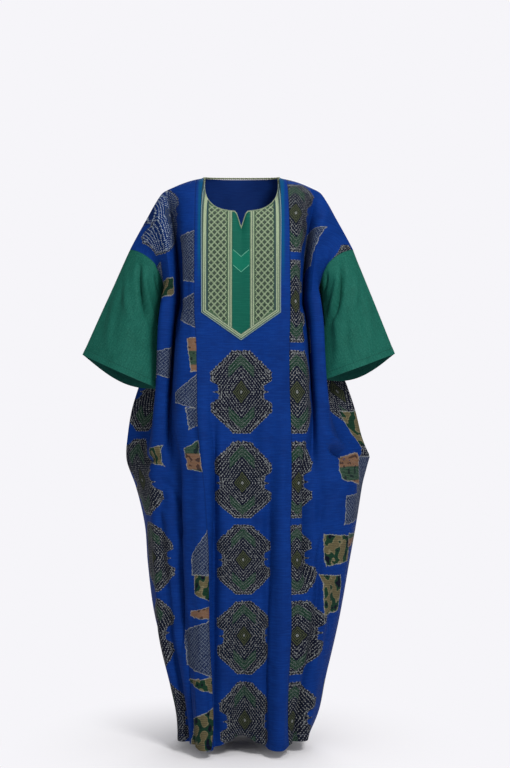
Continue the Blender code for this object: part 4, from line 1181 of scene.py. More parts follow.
def print_cloth(name, columns, patches=(), mirror=False, wrong_side=False, centre=False, bare_to=-1.0,
                wide_below=False, blue_high=False):
    """The blue woven print: medallions down the named columns, and patches beside the seam. No medallion
    begins above the fall bare_to."""
    net = Net(name, BLUE)
    u, v, seam = net.coordinates("flat")
    x, y, hem = net.coordinates("look")
    relief, slubs, clouds, down, streaks = weave(net, u, v)
    rough, drift = net.noise(u, v, 190.0, 2.0, 0.6), net.noise(v, u, 120.0, 2.0, 0.5)
    colour = net.laid(
        BLUE_DEEP,
        (net.between(clouds, 0.35, 0.95, 0.5), BLUE),
        (slubs * 0.16, BLUE_SLUB),
        (net.over(down, 0.62, 0.2) * 0.10, BLUE_FADED),
        (net.over(streaks, 0.56, 0.16) * 0.30, BLUE_SHADED),
        (net.under(streaks, 0.42, 0.14) * 0.16, BLUE_WORN),
    )
    if centre:
        beside = net.between(abs(u), *TEAL_BESIDE, 0.006) * net.under(v, TEAL_FOOT, 0.10)
        colour = net.mix(beside * 0.7, colour, TEAL)
    shift = x - columns[0]
    for middle in columns[1:]:
        found = x - middle
        nearer = net.under(abs(found), HALF_COLUMN, 0.0001)
        shift = net.node("ShaderNodeMix", inputs={0: nearer, 2: shift, 3: found})
    lean = net.high(v - LEAN[1], 0.0) * LEAN[0] if centre else 0.0
    row = (net.frac(y / PRINT_REPEAT + 0.5) - 0.5) * PRINT_REPEAT
    narrower = net.low(net.high((v - NARROWING[1]) * NARROWING[0], 0.0), NARROWING[2]) + 1.0
    wider = 1.0 - net.over(v, WIDE_BELOW, 0.10) * WIDE_SHARE if wide_below else 1.0
    high_up = net.under(v, HIGH_ABOVE, 0.03) * (1.0 if blue_high else 0.0)
    inside, shown = medallion(net, (shift - lean) * narrower * wider, row, rough, drift, high_up)
    colour = net.mix(inside * net.over(v, bare_to, 0.0002), colour, shown)
    if patches:
        inside, shown = patchwork(net, patches, abs(x) if mirror else seam, v, rough, drift)
        colour = net.mix(inside, colour, shown)
    colour = net.mix(clouds * 0.10 + slubs * 0.05, colour, INK)
    laid = (0.30, linear(4, 10, 30)), (0.5, linear(10, 30, 80))
    colour, height = sewn(net, colour, relief, u, seam, hem, 0.0007, *laid)
    if wrong_side:
        colour = net.mix(0.35 + clouds * 0.15, colour, BLUE_INSIDE)
    return net.finish(colour, height, 0.62 + clouds * 0.16, 0.55, 0.00035, 0.012, BLUE_SHEEN, 0.06)


def green_cloth(name, wrong_side=False):
    """The plain green woven cloth of the sleeves."""
    net = Net(name, GREEN)
    u, v, seam = net.coordinates("flat")
    hem = net.coordinates("look")[2]
    relief, slubs, clouds, _, streaks = weave(net, v, u)
    flecks = net.noise(u, v, 260.0, 2.0, 0.6)
    colour = net.laid(
        GREEN_DEEP,
        (net.between(clouds, 0.30, 0.90, 0.5), GREEN),
        (slubs * 0.24, GREEN_SLUB),
        (net.over(flecks, 0.56, 0.10) * 0.30, GREEN_DARK_FLECK),
        (net.under(flecks, 0.40, 0.08) * 0.30, GREEN_LIGHT_FLECK),
        (net.over(streaks, 0.57, 0.12) * 0.20, GREEN_SHADED),
        (net.under(streaks, 0.42, 0.12) * 0.14, GREEN_WORN),
    )
    laid = (0.5, linear(6, 30, 28)), (0.6, linear(10, 50, 44))
    colour, height = sewn(net, colour, relief, u, seam, hem, 0.0008, *laid)
    if wrong_side:
        colour = net.mix(0.45, colour, GREEN_INSIDE)
    return net.finish(colour, height, 0.60 + clouds * 0.16, 0.60, 0.00035, 0.02, GREEN_SHEEN, 0.08)


# The lighter pointed field of the strip: the fall of its upper edge at the middle, how deep it is, and how
# steeply its arms rise. Beyond the strip and beyond the lattice the ground changes its green.
FIELD_APEX, FIELD_DEPTH, FIELD_SLOPE = 0.2140, 0.0375, 0.86
GROUND_CHANGES = (0.0225, 0.0835)


def placket_cloth(name):
    """The placket's ground: a bright green strip down the middle, with a lighter pointed field, and a
    duller green under the lattice."""
    net = Net(name, STRIP_GREEN)
    u, v, _ = net.coordinates("flat")
    relief, slubs, clouds, _, _ = weave(net, u, v)
    field = net.between(v - FIELD_APEX + abs(u) * FIELD_SLOPE, -0.0010, FIELD_DEPTH, 0.0035)
    strip = net.laid(
        STRIP_DEEP, (clouds, STRIP_GREEN), (field * 0.85, STRIP_BRIGHT), (slubs * 0.22, STRIP_SLUB)
    )
    below = net.laid(LATTICE_DEEP, (clouds, LATTICE_GROUND), (slubs * 0.3, SAGE))
    changes = [net.over(abs(u), edge, 0.002) for edge in GROUND_CHANGES]
    colour = net.laid(strip, (changes[0], below), (changes[1], PLACKET_EDGE))
    return net.finish(colour, relief, 0.66, 0.5, 0.0003, 0.02, STRIP_SHEEN, 0.08)


def cord_material(name, light, dark, pitch=0.0016):
    """Twisted embroidery thread: fine slanting strands along each cord, by its own coordinates, with painted
    shade in the grooves between them.
    """
    net = Net(name, light)
    along, around, _ = net.coordinates("flat")
    ridge = net.cosine(net.frac(along / pitch + around) * (2 * math.pi))
    fuzz = net.noise(along, around * 0.004, 900.0, 2.0, 0.6)
    clouds = net.noise(along, around * 0.01, 60.0, 1.0, 0.5)
    # The dark colour is painted shade, laid mostly in the twist's grooves where the relief lies low, with
    # some uneven cloud besides.
    colour = net.mix(net.over(ridge, 0.55, 0.7) * 0.6 + clouds * 0.25, light, dark)
    height, rough = ridge * -0.5 + fuzz * 0.5, 0.52 + fuzz * 0.2
    return net.finish(colour, height, rough, 0.7, 0.0003, 0.2, (1.0, 1.0, 0.95), 0.5)


def satin_material(name, light, dark):
    """Satin stitches laid side by side."""
    net = Net(name, light)
    u, v, _ = net.coordinates("flat")
    threads, clouds = net.cosine(v * 9000.0), net.noise(u, v, 120.0, 2.0, 0.5)
    colour = net.mix(net.over(threads, 0.3, 0.8) * 0.35 + clouds * 0.4, light, dark)
    return net.finish(colour, threads + clouds, 0.50, 0.5, 0.0002, 0.2, (0.9, 1.0, 0.9), 0.5)


class Panel:
    """The centre panel's outer face, read by distance from the centre line (u) and by fall (v)."""

    STEP = 0.0015
    LOWEST = 0.46

    def __init__(self, grid, normals, u, v):
        self.u = u
        self.top = v[0].copy()
        self.v = np.arange(v[0].min(), self.LOWEST, self.STEP)
        self.table = np.array([
            [np.interp(self.v, v[:, c], values[:, c, k]) for values in (grid, normals) for k in range(3)]
            for c in range(len(u))
        ])

    def read(self, u, v, lift):
        """Points and normals at the given places, lifted off the cloth's inner face."""
        u, v = np.broadcast_arrays(np.asarray(u, float), np.asarray(v, float))
        c = np.clip(np.searchsorted(self.u, u) - 1, 0, len(self.u) - 2)
        r = np.clip(((v - self.v[0]) / self.STEP).astype(int), 0, len(self.v) - 2)
        fu = np.clip((u - self.u[c]) / (self.u[c + 1] - self.u[c]), 0, 1)[..., None]
        fv = np.clip((v - self.v[r]) / self.STEP, 0, 1)[..., None]
        t = self.table
        found = (
            (t[c, :, r] * (1 - fu) + t[c + 1, :, r] * fu) * (1 - fv)
            + (t[c, :, r + 1] * (1 - fu) + t[c + 1, :, r + 1] * fu) * fv
        )
        normal = unit(found[..., 3:])
        return found[..., :3] + normal * np.asarray(lift, float)[..., None], normal

    def brim(self, u):
        """The v of the neckline at u."""
        return np.interp(u, self.u, self.top)


class Pile:
    """Small solids gathered into one mesh."""

    CORNER_ANGLE = 60

    def __init__(self):
        self.points, self.faces, self.slots, self.flats, self.count = [], [], [], [], 0

    def add(self, points, faces, flats, slot):
        self.points.append(points)
        self.flats.append(flats)
        self.faces += [[k + self.count for k in f] for f in faces]
        self.slots += [slot] * len(faces)
        self.count += len(points)

    def cord(self, line, up, radius, slot=0, sides=6, height=None, closed=False):
        """A round or oval cord along a line; up is the surface's normal there."""
        height = radius if height is None else height
        if closed:
            along = unit(np.roll(line, -1, axis=0) - np.roll(line, 1, axis=0))
        else:
            along = unit(np.gradient(line, axis=0))
        across = unit(np.cross(along, up))
        rise = np.cross(across, along)
        run = arc_length(line)
        n, rings, flats = len(line), [], []
        for k in range(sides):
            angle = 2 * math.pi * (k + 0.5) / sides
            rings.append(line + across * radius * math.cos(angle) + rise * height * math.sin(angle))
            flats.append(np.stack([run, np.full(n, k / sides), np.zeros(n)], axis=1))
        faces = []
        for k in range(sides):
            a, b = k * n, (k + 1) % sides * n
            last = n if closed else n - 1
            faces += [[a + i, a + (i + 1) % n, b + (i + 1) % n, b + i] for i in range(last)]
        if not closed:
            faces.append([k * n for k in range(sides)])
            faces.append([k * n + n - 1 for k in reversed(range(sides))])
        self.add(np.concatenate(rings), faces, np.concatenate(flats), slot)

    def pillow(self, middle, corners, rise, slot):
        """A small stitched patch: corners round a raised middle, and a flat back."""
        n = len(corners)
        inner = middle + (corners - middle) * 0.62 + rise * 0.85
        points = np.concatenate([corners, inner, [middle + rise], [middle - rise * 0.2]])
        faces = []
        for k in range(n):
            m = (k + 1) % n
            faces += [[k, m, n + m, n + k], [n + k, n + m, 2 * n], [m, k, 2 * n + 1]]
        self.add(points, faces, points[:, [0, 2, 1]] * (1, -1, 1), slot)

    def object(self, name, materials):
        points, flats = np.concatenate(self.points), np.concatenate(self.flats)
        return new_object(name, points, self.faces, materials, self.slots, self.CORNER_ANGLE, flats, flats)


# The placket's layout, as distances from the centre line.
LATTICE_INNER, LATTICE_OUTER = 0.0355, 0.0835
DIAMOND_WIDTH, DIAMOND_FALL = 0.0160, 0.0176
DIAMOND_REACH, DIAMOND_RISE = 0.27, 0.0008
LATTICE_STEP = 0.0028
CORD_RADIUS = 0.00062
CORD_APART = 0.00090
FRAME_DEPTH = 0.0165
STITCH_PITCH = 0.0028
NECK_MARGIN = 0.0046
# More rows of cords, diamonds and cells than fit; those that leave the field are left out.
CORD_NUMBERS, DIAMOND_ROWS, DIAMOND_CELLS = range(-6, 34), range(-12, 70), range(-1, 4)


def placket_foot(u):
    """The v of the placket's pointed foot."""
    return -(PLACKET_TIP_Z + (PLACKET_CORNER_Z - PLACKET_TIP_Z) * np.abs(u) / PLACKET_HALF_WIDTH)


def field_ends(panel, side, u):
    """The v of a lattice field's upper and lower end."""
    return panel.brim(side * u) + NECK_MARGIN, placket_foot(u) - FRAME_DEPTH


def runs_inside(keep):
    """The stretches of consecutive places that are kept, three or more in each."""
    edges = np.flatnonzero(np.diff(np.concatenate([[0], keep.astype(int), [0]])))
    return [slice(a, b) for a, b in zip(edges[::2], edges[1::2]) if b - a >= 3]


def lattice_cords(pile, panel, side):
    """Pairs of cords that cross over one lattice field; those that fall outwards lie below the others."""
    slope = DIAMOND_FALL / DIAMOND_WIDTH
    steps = int((LATTICE_OUTER - LATTICE_INNER) / LATTICE_STEP)
    across = np.linspace(LATTICE_INNER, LATTICE_OUTER, steps + 1)
    turn = np.array([1.0, slope]) / math.hypot(1.0, slope)
    for direction, rise in ((1, 0.55), (-1, 1.25)):
        for number, shift in product(CORD_NUMBERS, (-CORD_APART, CORD_APART)):
            fall = DIAMOND_FALL * number + direction * slope * (across - LATTICE_INNER)
            u = across + shift * turn[1]
            v = fall - direction * shift * turn[0]
            top, foot = field_ends(panel, side, u)
            keep = (v > top) & (v < foot) & (u > LATTICE_INNER - 1e-6) & (u < LATTICE_OUTER + 1e-6)
            for run in runs_inside(keep):
                line, up = panel.read(side * u[run], v[run], PLACKET_TOP + CORD_RADIUS * rise)
                pile.cord(line, up, CORD_RADIUS)


def lattice_diamonds(pile, panel, side):
    """A dark stitched diamond in each cell of one lattice field."""
    reach_u, reach_v = DIAMOND_WIDTH * DIAMOND_REACH, DIAMOND_FALL * DIAMOND_REACH
    angles = np.arange(8) * math.pi / 4
    spread = 1 / (np.abs(np.cos(angles)) + np.abs(np.sin(angles))) ** 0.75
    for row, cell in product(DIAMOND_ROWS, DIAMOND_CELLS):
        u = LATTICE_INNER + DIAMOND_WIDTH * (cell + 0.5 * (row % 2))
        v = DIAMOND_FALL * (row + 1) / 2
        low_u, high_u = max(u - reach_u, LATTICE_INNER), min(u + reach_u, LATTICE_OUTER)
        top, foot = field_ends(panel, side, u)
        if high_u - low_u < reach_u * 0.6 or v - reach_v < top or v + reach_v > foot:
            continue
        ring_u = np.clip(u + reach_u * spread * np.cos(angles), LATTICE_INNER, LATTICE_OUTER)
        ring_v = v + reach_v * spread * np.sin(angles)
        middle, up = panel.read(np.array([side * (low_u + high_u) / 2]), np.array([v]), PLACKET_TOP)
        corners, _ = panel.read(side * ring_u, ring_v, PLACKET_TOP - 0.0001)
        pile.pillow(middle[0], corners[::-side], up[0] * DIAMOND_RISE, 1)


def lattice(panel, materials):
    """The two lattice fields beside the placket's middle strip."""
    pile = Pile()
    for side in (-1, 1):
        lattice_cords(pile, panel, side)
        lattice_diamonds(pile, panel, side)
    return pile.object("placket_lattice", materials)


# The rows of a braid, across its width: a cord's place as a share of the width, its radius, how high it
# stands, and slot. Ticks are stitched between the last two.
Row = namedtuple("Row", "share radius height slot")
OUTER_ROWS = [Row(0.94, 0.0010, 0.0009, 1), Row(0.585, 0.0012, 0.0010, 0), Row(0.215, 0.0014, 0.0010, 0)]
INNER_ROWS = [Row(0.80, 0.0014, 0.0010, 0), Row(0.22, 0.0014, 0.0010, 0)]
TICK_RADIUS, TICK_LEAN = 0.00050, 0.3
# Points down a side and along half of the foot of the outer braid, and down an inner braid.
FRAME_POINTS, FOOT_POINTS, STRIP_POINTS = 130, 60, 150


def braid(pile, panel, inner_line, outer_line, rows):
    """Cords running along a band between two lines of the placket, and ticks stitched across it. Each line
    is an array of (u, v)."""
    lines = [inner_line + (outer_line - inner_line) * row.share for row in rows]
    for row, line in zip(rows, lines):
        points, up = panel.read(line[:, 0], line[:, 1], PLACKET_TOP + row.height * 0.6)
        pile.cord(points, up, row.radius, row.slot, 8, row.height)
    second, first = lines[-2:]
    points, _ = panel.read(first[:, 0], first[:, 1], PLACKET_TOP)
    run = arc_length(points)
    for at in np.arange(STITCH_PITCH, run[-1] - STITCH_PITCH / 2, STITCH_PITCH):
        a, b = along_line(first, run, at), along_line(second, run, at + STITCH_PITCH * TICK_LEAN)
        path = a + (b - a) * np.linspace(0.12, 0.88, 4)[:, None]
        points, up = panel.read(path[:, 0], path[:, 1], PLACKET_TOP + 0.0005)
        pile.cord(points, up, TICK_RADIUS, 0, 5)


def band(pile, panel, inner_line, outer_line, slot):
    """The narrow ground ribbon under a braid."""
    shares = np.linspace(0, 1, 5)
    grid = inner_line[:, None] + (outer_line - inner_line)[:, None] * shares[None, :, None]
    lift = PLACKET_TOP + 0.0004 * np.minimum(1, 4 * shares * (1 - shares) * 2)
    top, up = panel.read(grid[..., 0], grid[..., 1], lift)
    low = top - up * 0.0006
    rows, columns = grid.shape[:2]
    number = np.arange(rows * columns).reshape(rows, columns)
    corners = [number[:-1, :-1], number[1:, :-1], number[1:, 1:], number[:-1, 1:]]
    quads = np.stack(corners, axis=-1).reshape(-1, 4)
    face = top.reshape(-1, 3)[quads[0]]
    outward = np.dot(np.cross(face[2] - face[0], face[3] - face[1]), up.reshape(-1, 3)[quads[0][0]])
    if outward < 0:
        quads = quads[:, ::-1]
    flats = np.concatenate([grid.reshape(-1, 2)] * 2)
    flats = np.concatenate([flats, np.zeros((len(flats), 1))], axis=1)
    both = np.concatenate([top.reshape(-1, 3), low.reshape(-1, 3)])
    pile.add(both, wall_faces(quads, rows * columns), flats, slot)


def frame_line(panel, u, rise):
    """A line of the outer braid: down the wearer's left side, along the pointed foot and up the right."""
    top, corner = panel.brim(u) + NECK_MARGIN, placket_foot(u) - rise
    fall = top + (corner - top) * np.linspace(0, 1, FRAME_POINTS)[:, None]
    down = np.concatenate([np.full((FRAME_POINTS, 1), u), fall], axis=1)
    across = np.linspace(u, 0, FOOT_POINTS)[1:]
    half = np.concatenate([down, np.stack([across, placket_foot(across) - rise], axis=1)])
    return np.concatenate([half, half[-2::-1] * (-1, 1)])


def strip_line(panel, side, u):
    """A line of an inner braid, down the side of the middle strip."""
    v = np.linspace(panel.brim(side * u) + NECK_MARGIN, placket_foot(u) - FRAME_DEPTH + 0.001, STRIP_POINTS)
    return np.stack([np.full(STRIP_POINTS, side * u), v], axis=1)


def placket_braids(panel, materials):
    """The outer braid down both sides and along the pointed foot, and the two inner braids."""
    inner = frame_line(panel, PLACKET_HALF_WIDTH - BRAID_OUTER_WIDTH + 0.0014, FRAME_DEPTH)
    outer = frame_line(panel, PLACKET_HALF_WIDTH - 0.0004, 0.0006)
    braids = [("braid_frame", "braid_outer", (inner, outer), OUTER_ROWS)]
    edges = (STRIP_HALF_WIDTH + 0.0012, STRIP_HALF_WIDTH + BRAID_INNER_WIDTH - 0.0012)
    for side, word in SIDES:
        lines = [strip_line(panel, side, u) for u in edges]
        braids.append(("braid_strip_" + word, "braid_inner_" + word, lines, INNER_ROWS))
    made = []
    for name, node, lines, rows in braids:
        pile = Pile()
        band(pile, panel, *lines, 2)
        braid(pile, panel, *lines, rows)
        made.append(pile.object(name, materials))
        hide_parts(node)
    return made


def strip_stitches(panel, materials):
    """The two thin pointed lines embroidered on the placket's middle strip."""
    pile = Pile()
    u = np.linspace(-0.0205, 0.0205, 41)
    for apex, shift in product((0.2130, 0.2520), (-0.0005, 0.0005)):
        line, up = panel.read(u, apex - np.abs(u) * FIELD_SLOPE + shift, PLACKET_TOP + 0.0003)
        pile.cord(line, up, 0.00042, 0, 5)
    return pile.object("strip_stitches", materials)


# The twisted edging of the neck: two strands wound round its path.
STRAND_RADIUS = 0.00135
STRAND_OFFSET = 0.00115
TWIST_PITCH = 0.0105
TWIST_STEPS = 14
PATH_SMOOTHINGS = 6


def neck_edging(path, across, up, materials):
    run = arc_length(np.concatenate([path, path[:1]]))
    turns = round(run[-1] / TWIST_PITCH)
    at = np.linspace(0, run[-1], turns * TWIST_STEPS, endpoint=False)
    closed = [np.concatenate([values, values[:1]]) for values in (path, across, up)]
    middle, aside, rise = [along_line(values, run, at) for values in closed]
    aside, rise = unit(aside), unit(rise)
    for _ in range(PATH_SMOOTHINGS):
        middle = (np.roll(middle, 1, axis=0) + middle * 2 + np.roll(middle, -1, axis=0)) / 4
    pile = Pile()
    for strand in (0, 1):
        angle = (at / run[-1] * turns * 2 * math.pi + strand * math.pi)[:, None]
        line = middle + (aside * np.cos(angle) + rise * np.sin(angle)) * STRAND_OFFSET
        pile.cord(line, rise, STRAND_RADIUS, strand, 7, closed=True)
    made = pile.object("neck_cord", materials)
    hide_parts("neck_edging")
    return made


# The flat braid sewn on the cloth beside the neck edge: its reach down from there, how high its face lies,
# where its two cords lie across it, and the rows of the cloth's grid that it is measured on.
NECK_BAND_INNER, NECK_BAND_OUTER = 0.0008, 0.0066
NECK_BAND_BASE = CLOTH + 0.0001
NECK_BAND_CORDS = (0.12, 0.88)
NECK_BAND_ROWS = 40


def rows_down(grid, distance):
    """Points a given way down each column from its top."""
    columns = [grid[:NECK_BAND_ROWS, c] for c in range(grid.shape[1])]
    return np.array([along_line(column, arc_length(column), distance) for column in columns])


def neck_line(grids, normals, share):
    """A line round the neck, a share of the way across the braid, and the cloth's normals along it."""
    distance = NECK_BAND_INNER + (NECK_BAND_OUTER - NECK_BAND_INNER) * share
    line = round_neck(*[rows_down(grid, distance) for grid in grids])
    return line, round_neck(*[unit(rows_down(normal, 0.0)) for normal in normals])


def neck_band(grids, normals, materials):
    """A narrow braid round the neck, on the front and on the back, with two cords."""
    pile = Pile()
    found = [neck_line(grids, normals, share) for share in (0.0, 0.5, 1.0)]
    grid, up = np.stack([line for line, _ in found]), np.stack([up for _, up in found])
    ring = grid.shape[1]
    lift = np.array([0.0, 0.0012, 0.0])[:, None, None] + NECK_BAND_BASE + 0.0015
    top = grid + up * lift
    low = grid + up * (NECK_BAND_BASE - 0.0004)
    run = arc_length(grid[1])
    across = np.tile(np.arange(3)[:, None] * 0.003, (1, ring))
    flat = np.stack([np.tile(run, (3, 1)), across, np.zeros((3, ring))], axis=-1)
    number = np.arange(3 * ring).reshape(3, ring)
    n = 3 * ring
    pairs = [(c, (c + 1) % ring) for c in range(ring)]
    faces = []
    for j, (c, m) in product(range(2), pairs):
        quad = [number[j, c], number[j + 1, c], number[j + 1, m], number[j, m]]
        faces += [quad, [k + n for k in reversed(quad)]]
    for c, m in pairs:
        faces.append([number[0, c], number[0, c] + n, number[0, m] + n, number[0, m]])
        faces.append([number[2, m], number[2, m] + n, number[2, c] + n, number[2, c]])
    both = np.concatenate([top.reshape(-1, 3), low.reshape(-1, 3)])
    pile.add(both, faces, np.tile(flat.reshape(-1, 3), (2, 1)), 0)
    for share in NECK_BAND_CORDS:
        line, up = neck_line(grids, normals, share)
        pile.cord(line + up * (NECK_BAND_BASE + 0.0021), up, 0.0007, 1, 6, closed=True)
    return pile.object("neck_braid", materials)


# Cut of each sheet: width and length in metres, and area.
Cut = namedtuple("Cut", "width length area")

RIGHT_PATCHES = [Patch(*row) for row in (
    (-0.01, 0.100, 0.142, 0.278, 0.24, 0.10, "net", 0.48),
    (-0.01, 0.062, 0.300, 0.396, 0.45, 0.45, "net", 0.10),
    (-0.01, 0.024, 0.414, 0.502, 0.10, 0.00, "blocks", 0.10),
    (-0.01, 0.058, 0.500, 0.600, 0.80, 0.30, "net"),
    (-0.01, 0.032, 0.590, 0.636, 0.00, -0.30, "net", 0.12),
    (0.001, 0.042, 0.670, 0.752, 0.60, 0.10, "blocks"),
    (-0.01, 0.048, 0.884, 1.010, 1.30, 0.00, "net"),
    (-0.01, 0.042, 1.008, 1.078, 0.00, 0.45, "leaves"),
    (-0.01, 0.057, 1.086, 1.120, 0.20, 0.10, "blocks"),
    (-0.01, 0.084, 1.118, 1.264, 0.35, 0.30, "net"),
    (-0.01, 0.094, 1.262, 1.308, 0.10, 0.35, "leaves"),
    (-0.01, 0.078, 1.334, 1.446, 0.45, 0.00, "leaves"),
    (0.196, 0.262, 0.258, 0.304, 0.30, -0.30, "leaves"),
    (0.190, 0.240, 0.436, 0.520, 0.30, 0.30, "net"),
    (0.140, 0.186, 0.688, 0.742, 0.20, 0.20, "leaves"),
)]
LEFT_PATCHES = [Patch(*row) for row in (
    (0.112, 0.190, 0.150, 0.262, -0.40, 0.40, "net"),
    (0.120, 0.182, 0.372, 0.470, 0.30, 0.30, "net"),
    (0.284, 0.360, 0.604, 0.700, 0.00, 0.00, "leaves"),
    (0.168, 0.258, 0.712, 0.776, 0.00, -0.20, "blocks"),
    (0.236, 0.330, 0.722, 0.830, 0.00, 0.00, "net"),
    (0.186, 0.310, 0.818, 0.892, -0.10, 0.10, "net"),
    (0.130, 0.212, 0.912, 0.996, 0.10, 0.10, "leaves"),
    (0.205, 0.310, 0.914, 0.952, 0.10, 0.10, "blocks"),
    (0.104, 0.170, 1.014, 1.120, 0.10, 0.10, "leaves"),
    (0.150, 0.190, 1.290, 1.360, 0.20, 0.20, "net"),
)]
BACK_PATCHES = [Patch(*row) for row in (
    (0.112, 0.188, 0.160, 0.262, 0.40, 0.40, "net"),
    (0.126, 0.174, 0.410, 0.486, 0.00, 0.00, "blocks"),
    (0.112, 0.188, 0.500, 0.612, 0.30, -0.30, "net"),
    (0.120, 0.180, 0.660, 0.744, 0.00, 0.20, "leaves"),
    (0.112, 0.188, 0.870, 0.986, -0.30, 0.30, "net"),
    (0.126, 0.174, 0.996, 1.072, 0.00, 0.00, "blocks"),
    (0.114, 0.186, 1.090, 1.230, 0.30, 0.30, "net"),
    (0.120, 0.180, 1.290, 1.400, 0.30, 0.00, "leaves"),
)]
# Where the columns of medallions stand: from the seam on the sides of the front, from the middle elsewhere.
# That of the wearer's right lies at a changing place, given at some falls down the cloth.
RIGHT_COLUMN = (
    (0.10, 0.20, 0.30, 0.45, 0.62, 0.78, 0.90, 1.16, 1.40),
    (0.130, 0.228, 0.372, 0.306, 0.300, 0.250, 0.222, 0.206, 0.178),
)
LEFT_COLUMNS = (0.018, 0.330)
BACK_COLUMNS = (0.0, 0.30, -0.30)
# The fall above which the front centre and the back have no medallions.
CENTRE_BARE_TO, BACK_BARE_TO = 0.44, 0.225


Cloth = namedtuple("Cloth", "grid u v")


def body_cloth(face, creases, seed):
    """The inner face of the front or back with its creases and slack, and each point's distance from the
    centre line along the cloth and its fall."""
    raw, u = whole_grid(face)
    grid = relaxed(raw, face)
    v = fall_of(grid)
    outward = unit(summed_normals(grid)) * (1 if face == "front" else -1)
    plain = 1.0
    if face == "front":
        in_placket = np.clip((PLACKET_HALF_WIDTH + 0.02 - np.abs(u)) / 0.02, 0, 1)
        in_placket = in_placket * np.clip((0.44 - v) / 0.03, 0, 1)
        plain = 1 - in_placket * SLACK_LOST_UNDER_PLACKET
    move = (pressed(creases, u, v) + slack(u, v, seed) * plain) * edge_run(u, v)
    return Cloth(grid + outward * move[..., None], u, v)


def sleeve_cloth(cuff, front, back):
    """The inner face of a sleeve with its creases and slack, and each point's distance round it and down
    it."""
    column = 0 if cuff.side < 0 else -1
    grid = sleeve_grid(cuff, *[cloth.grid[: YOKE_ROWS + 1, column] for cloth in (front, back)])
    rows, columns = grid.shape[:2]
    ring = np.linalg.norm(np.roll(grid, -1, axis=1) - grid, axis=2)
    around = np.cumsum(np.concatenate([np.zeros((rows, 1)), ring], axis=1), axis=1)
    share = around[:, :-1] / around[:, -1:]
    down = np.linspace(0, 1, rows)[:, None] * np.ones((1, columns))
    outward = unit(summed_normals(grid, ring=True) * -cuff.side)
    free = np.clip(down / 0.10, 0, 1)
    move = pressed(SLEEVE_CREASES, share, down) * free
    move += slack(share * SLEEVE_GIRTH, down * SLEEVE_LENGTH, SLACK_SEED + 3 + cuff.side) * free
    steps = np.linalg.norm(np.diff(grid, axis=0), axis=2)
    lengths = np.cumsum(np.concatenate([np.zeros((1, columns)), steps]), axis=0)
    return Cloth(grid + outward * move[..., None], around[:, :-1], lengths)


def cloth_piece(node, cloth, normals, flat, look, materials, slot, part=slice(None), ring=False):
    """The cloth of a CAD node, from some columns of its grid. It is thicker where its hem is turned."""
    turned = HEM_THICKER * np.clip((HEM_TURN - look[..., 2]) / HEM_TURN_STEP, 0, 1)
    grids = (cloth.grid, normals, CLOTH_INNER - turned, CLOTH + turned, flat, look)
    grid, normals, low, high, flat, look = [values[:, part] for values in grids]
    piece = shell("cloth_" + node, grid, normals, low, high, materials, flat, look, ring)
    return piece


def printed_pieces(front, back, front_normals, back_normals):
    """The three pieces of the front, cut at the seams of its centre panel, and the back."""
    inside = print_cloth("printed_cloth_inside", BACK_COLUMNS, wrong_side=True, bare_to=BACK_BARE_TO)
    u, v = front.u, front.v
    right, left = TIP_COLUMN - SEAM_COLUMN, TIP_COLUMN + SEAM_COLUMN
    away = np.abs(u) - np.where(u < 0, -u[:, right][:, None], u[:, left][:, None])
    parts = {
        "front_centre": (
            PANEL_SPAN, u, print_cloth("printed_cloth_centre", (0.0,), centre=True, bare_to=CENTRE_BARE_TO)
        ),
        "front_side_right": (
            slice(0, right + 1), away - np.interp(v, *RIGHT_COLUMN),
            print_cloth("printed_cloth_right", (0.0,), RIGHT_PATCHES, blue_high=True),
        ),
        "front_side_left": (
            slice(left, None), away,
            print_cloth("printed_cloth_left", LEFT_COLUMNS, LEFT_PATCHES, wide_below=True),
        ),
    }
    pieces, flat = {}, vectors(u, v, away)
    for node, (part, x, material) in parts.items():
        look = vectors(x, print_fall(v), v[-1:] - v)
        laid = [material, inside]
        pieces[node] = cloth_piece(node, front, front_normals, flat, look, laid, "printed_cloth", part)
    u, v = back.u, back.v
    flat, look = vectors(u, v, np.full(u.shape, 1.0)), vectors(u, print_fall(v), v[-1:] - v)
    material = print_cloth(
        "printed_cloth_back", BACK_COLUMNS, BACK_PATCHES, mirror=True, bare_to=BACK_BARE_TO
    )
    laid = [material, inside]
    pieces["back"] = cloth_piece("back", back, back_normals, flat, look, laid, "printed_cloth", TURNED)
    return pieces


def sleeve_pieces(sleeves, sleeve_normals):
    green = [green_cloth("green_cloth_sleeve"), green_cloth("green_cloth_inside", wrong_side=True)]
    pieces = {}
    for side, word in SIDES:
        node, cloth = "sleeve_" + word, sleeves[side]
        around, lengths = cloth.u, cloth.v
        flat, look = vectors(around, lengths, lengths), vectors(around, lengths, lengths[-1:] - lengths)
        part = TURNED if side > 0 else slice(None)
        normals = sleeve_normals[side]
        pieces[node] = cloth_piece(node, cloth, normals, flat, look, green, "green_cloth", part, ring=True)
    return pieces


def placket_piece(front, front_normals):
    """The placket's ground, over the yoke of the centre panel."""
    grid, normals, u, v = [a[:, PANEL_SPAN] for a in (front.grid, front_normals, front.u, front.v)]
    numbers = np.abs(np.arange(-SEAM_COLUMN, SEAM_COLUMN) + 0.5)
    cells = (numbers < NECK_COLUMN)[None, :] & (np.arange(len(grid) - 1)[:, None] < YOKE_ROWS)
    flat = vectors(u, v, np.full(u.shape, 1.0))
    materials = [placket_cloth("placket_ground"), placket_cloth("placket_back")]
    piece = shell(
        "placket_ground", grid, normals, PLACKET_FOOT, PLACKET_TOP, materials, flat, flat, cells=cells
    )
    return piece


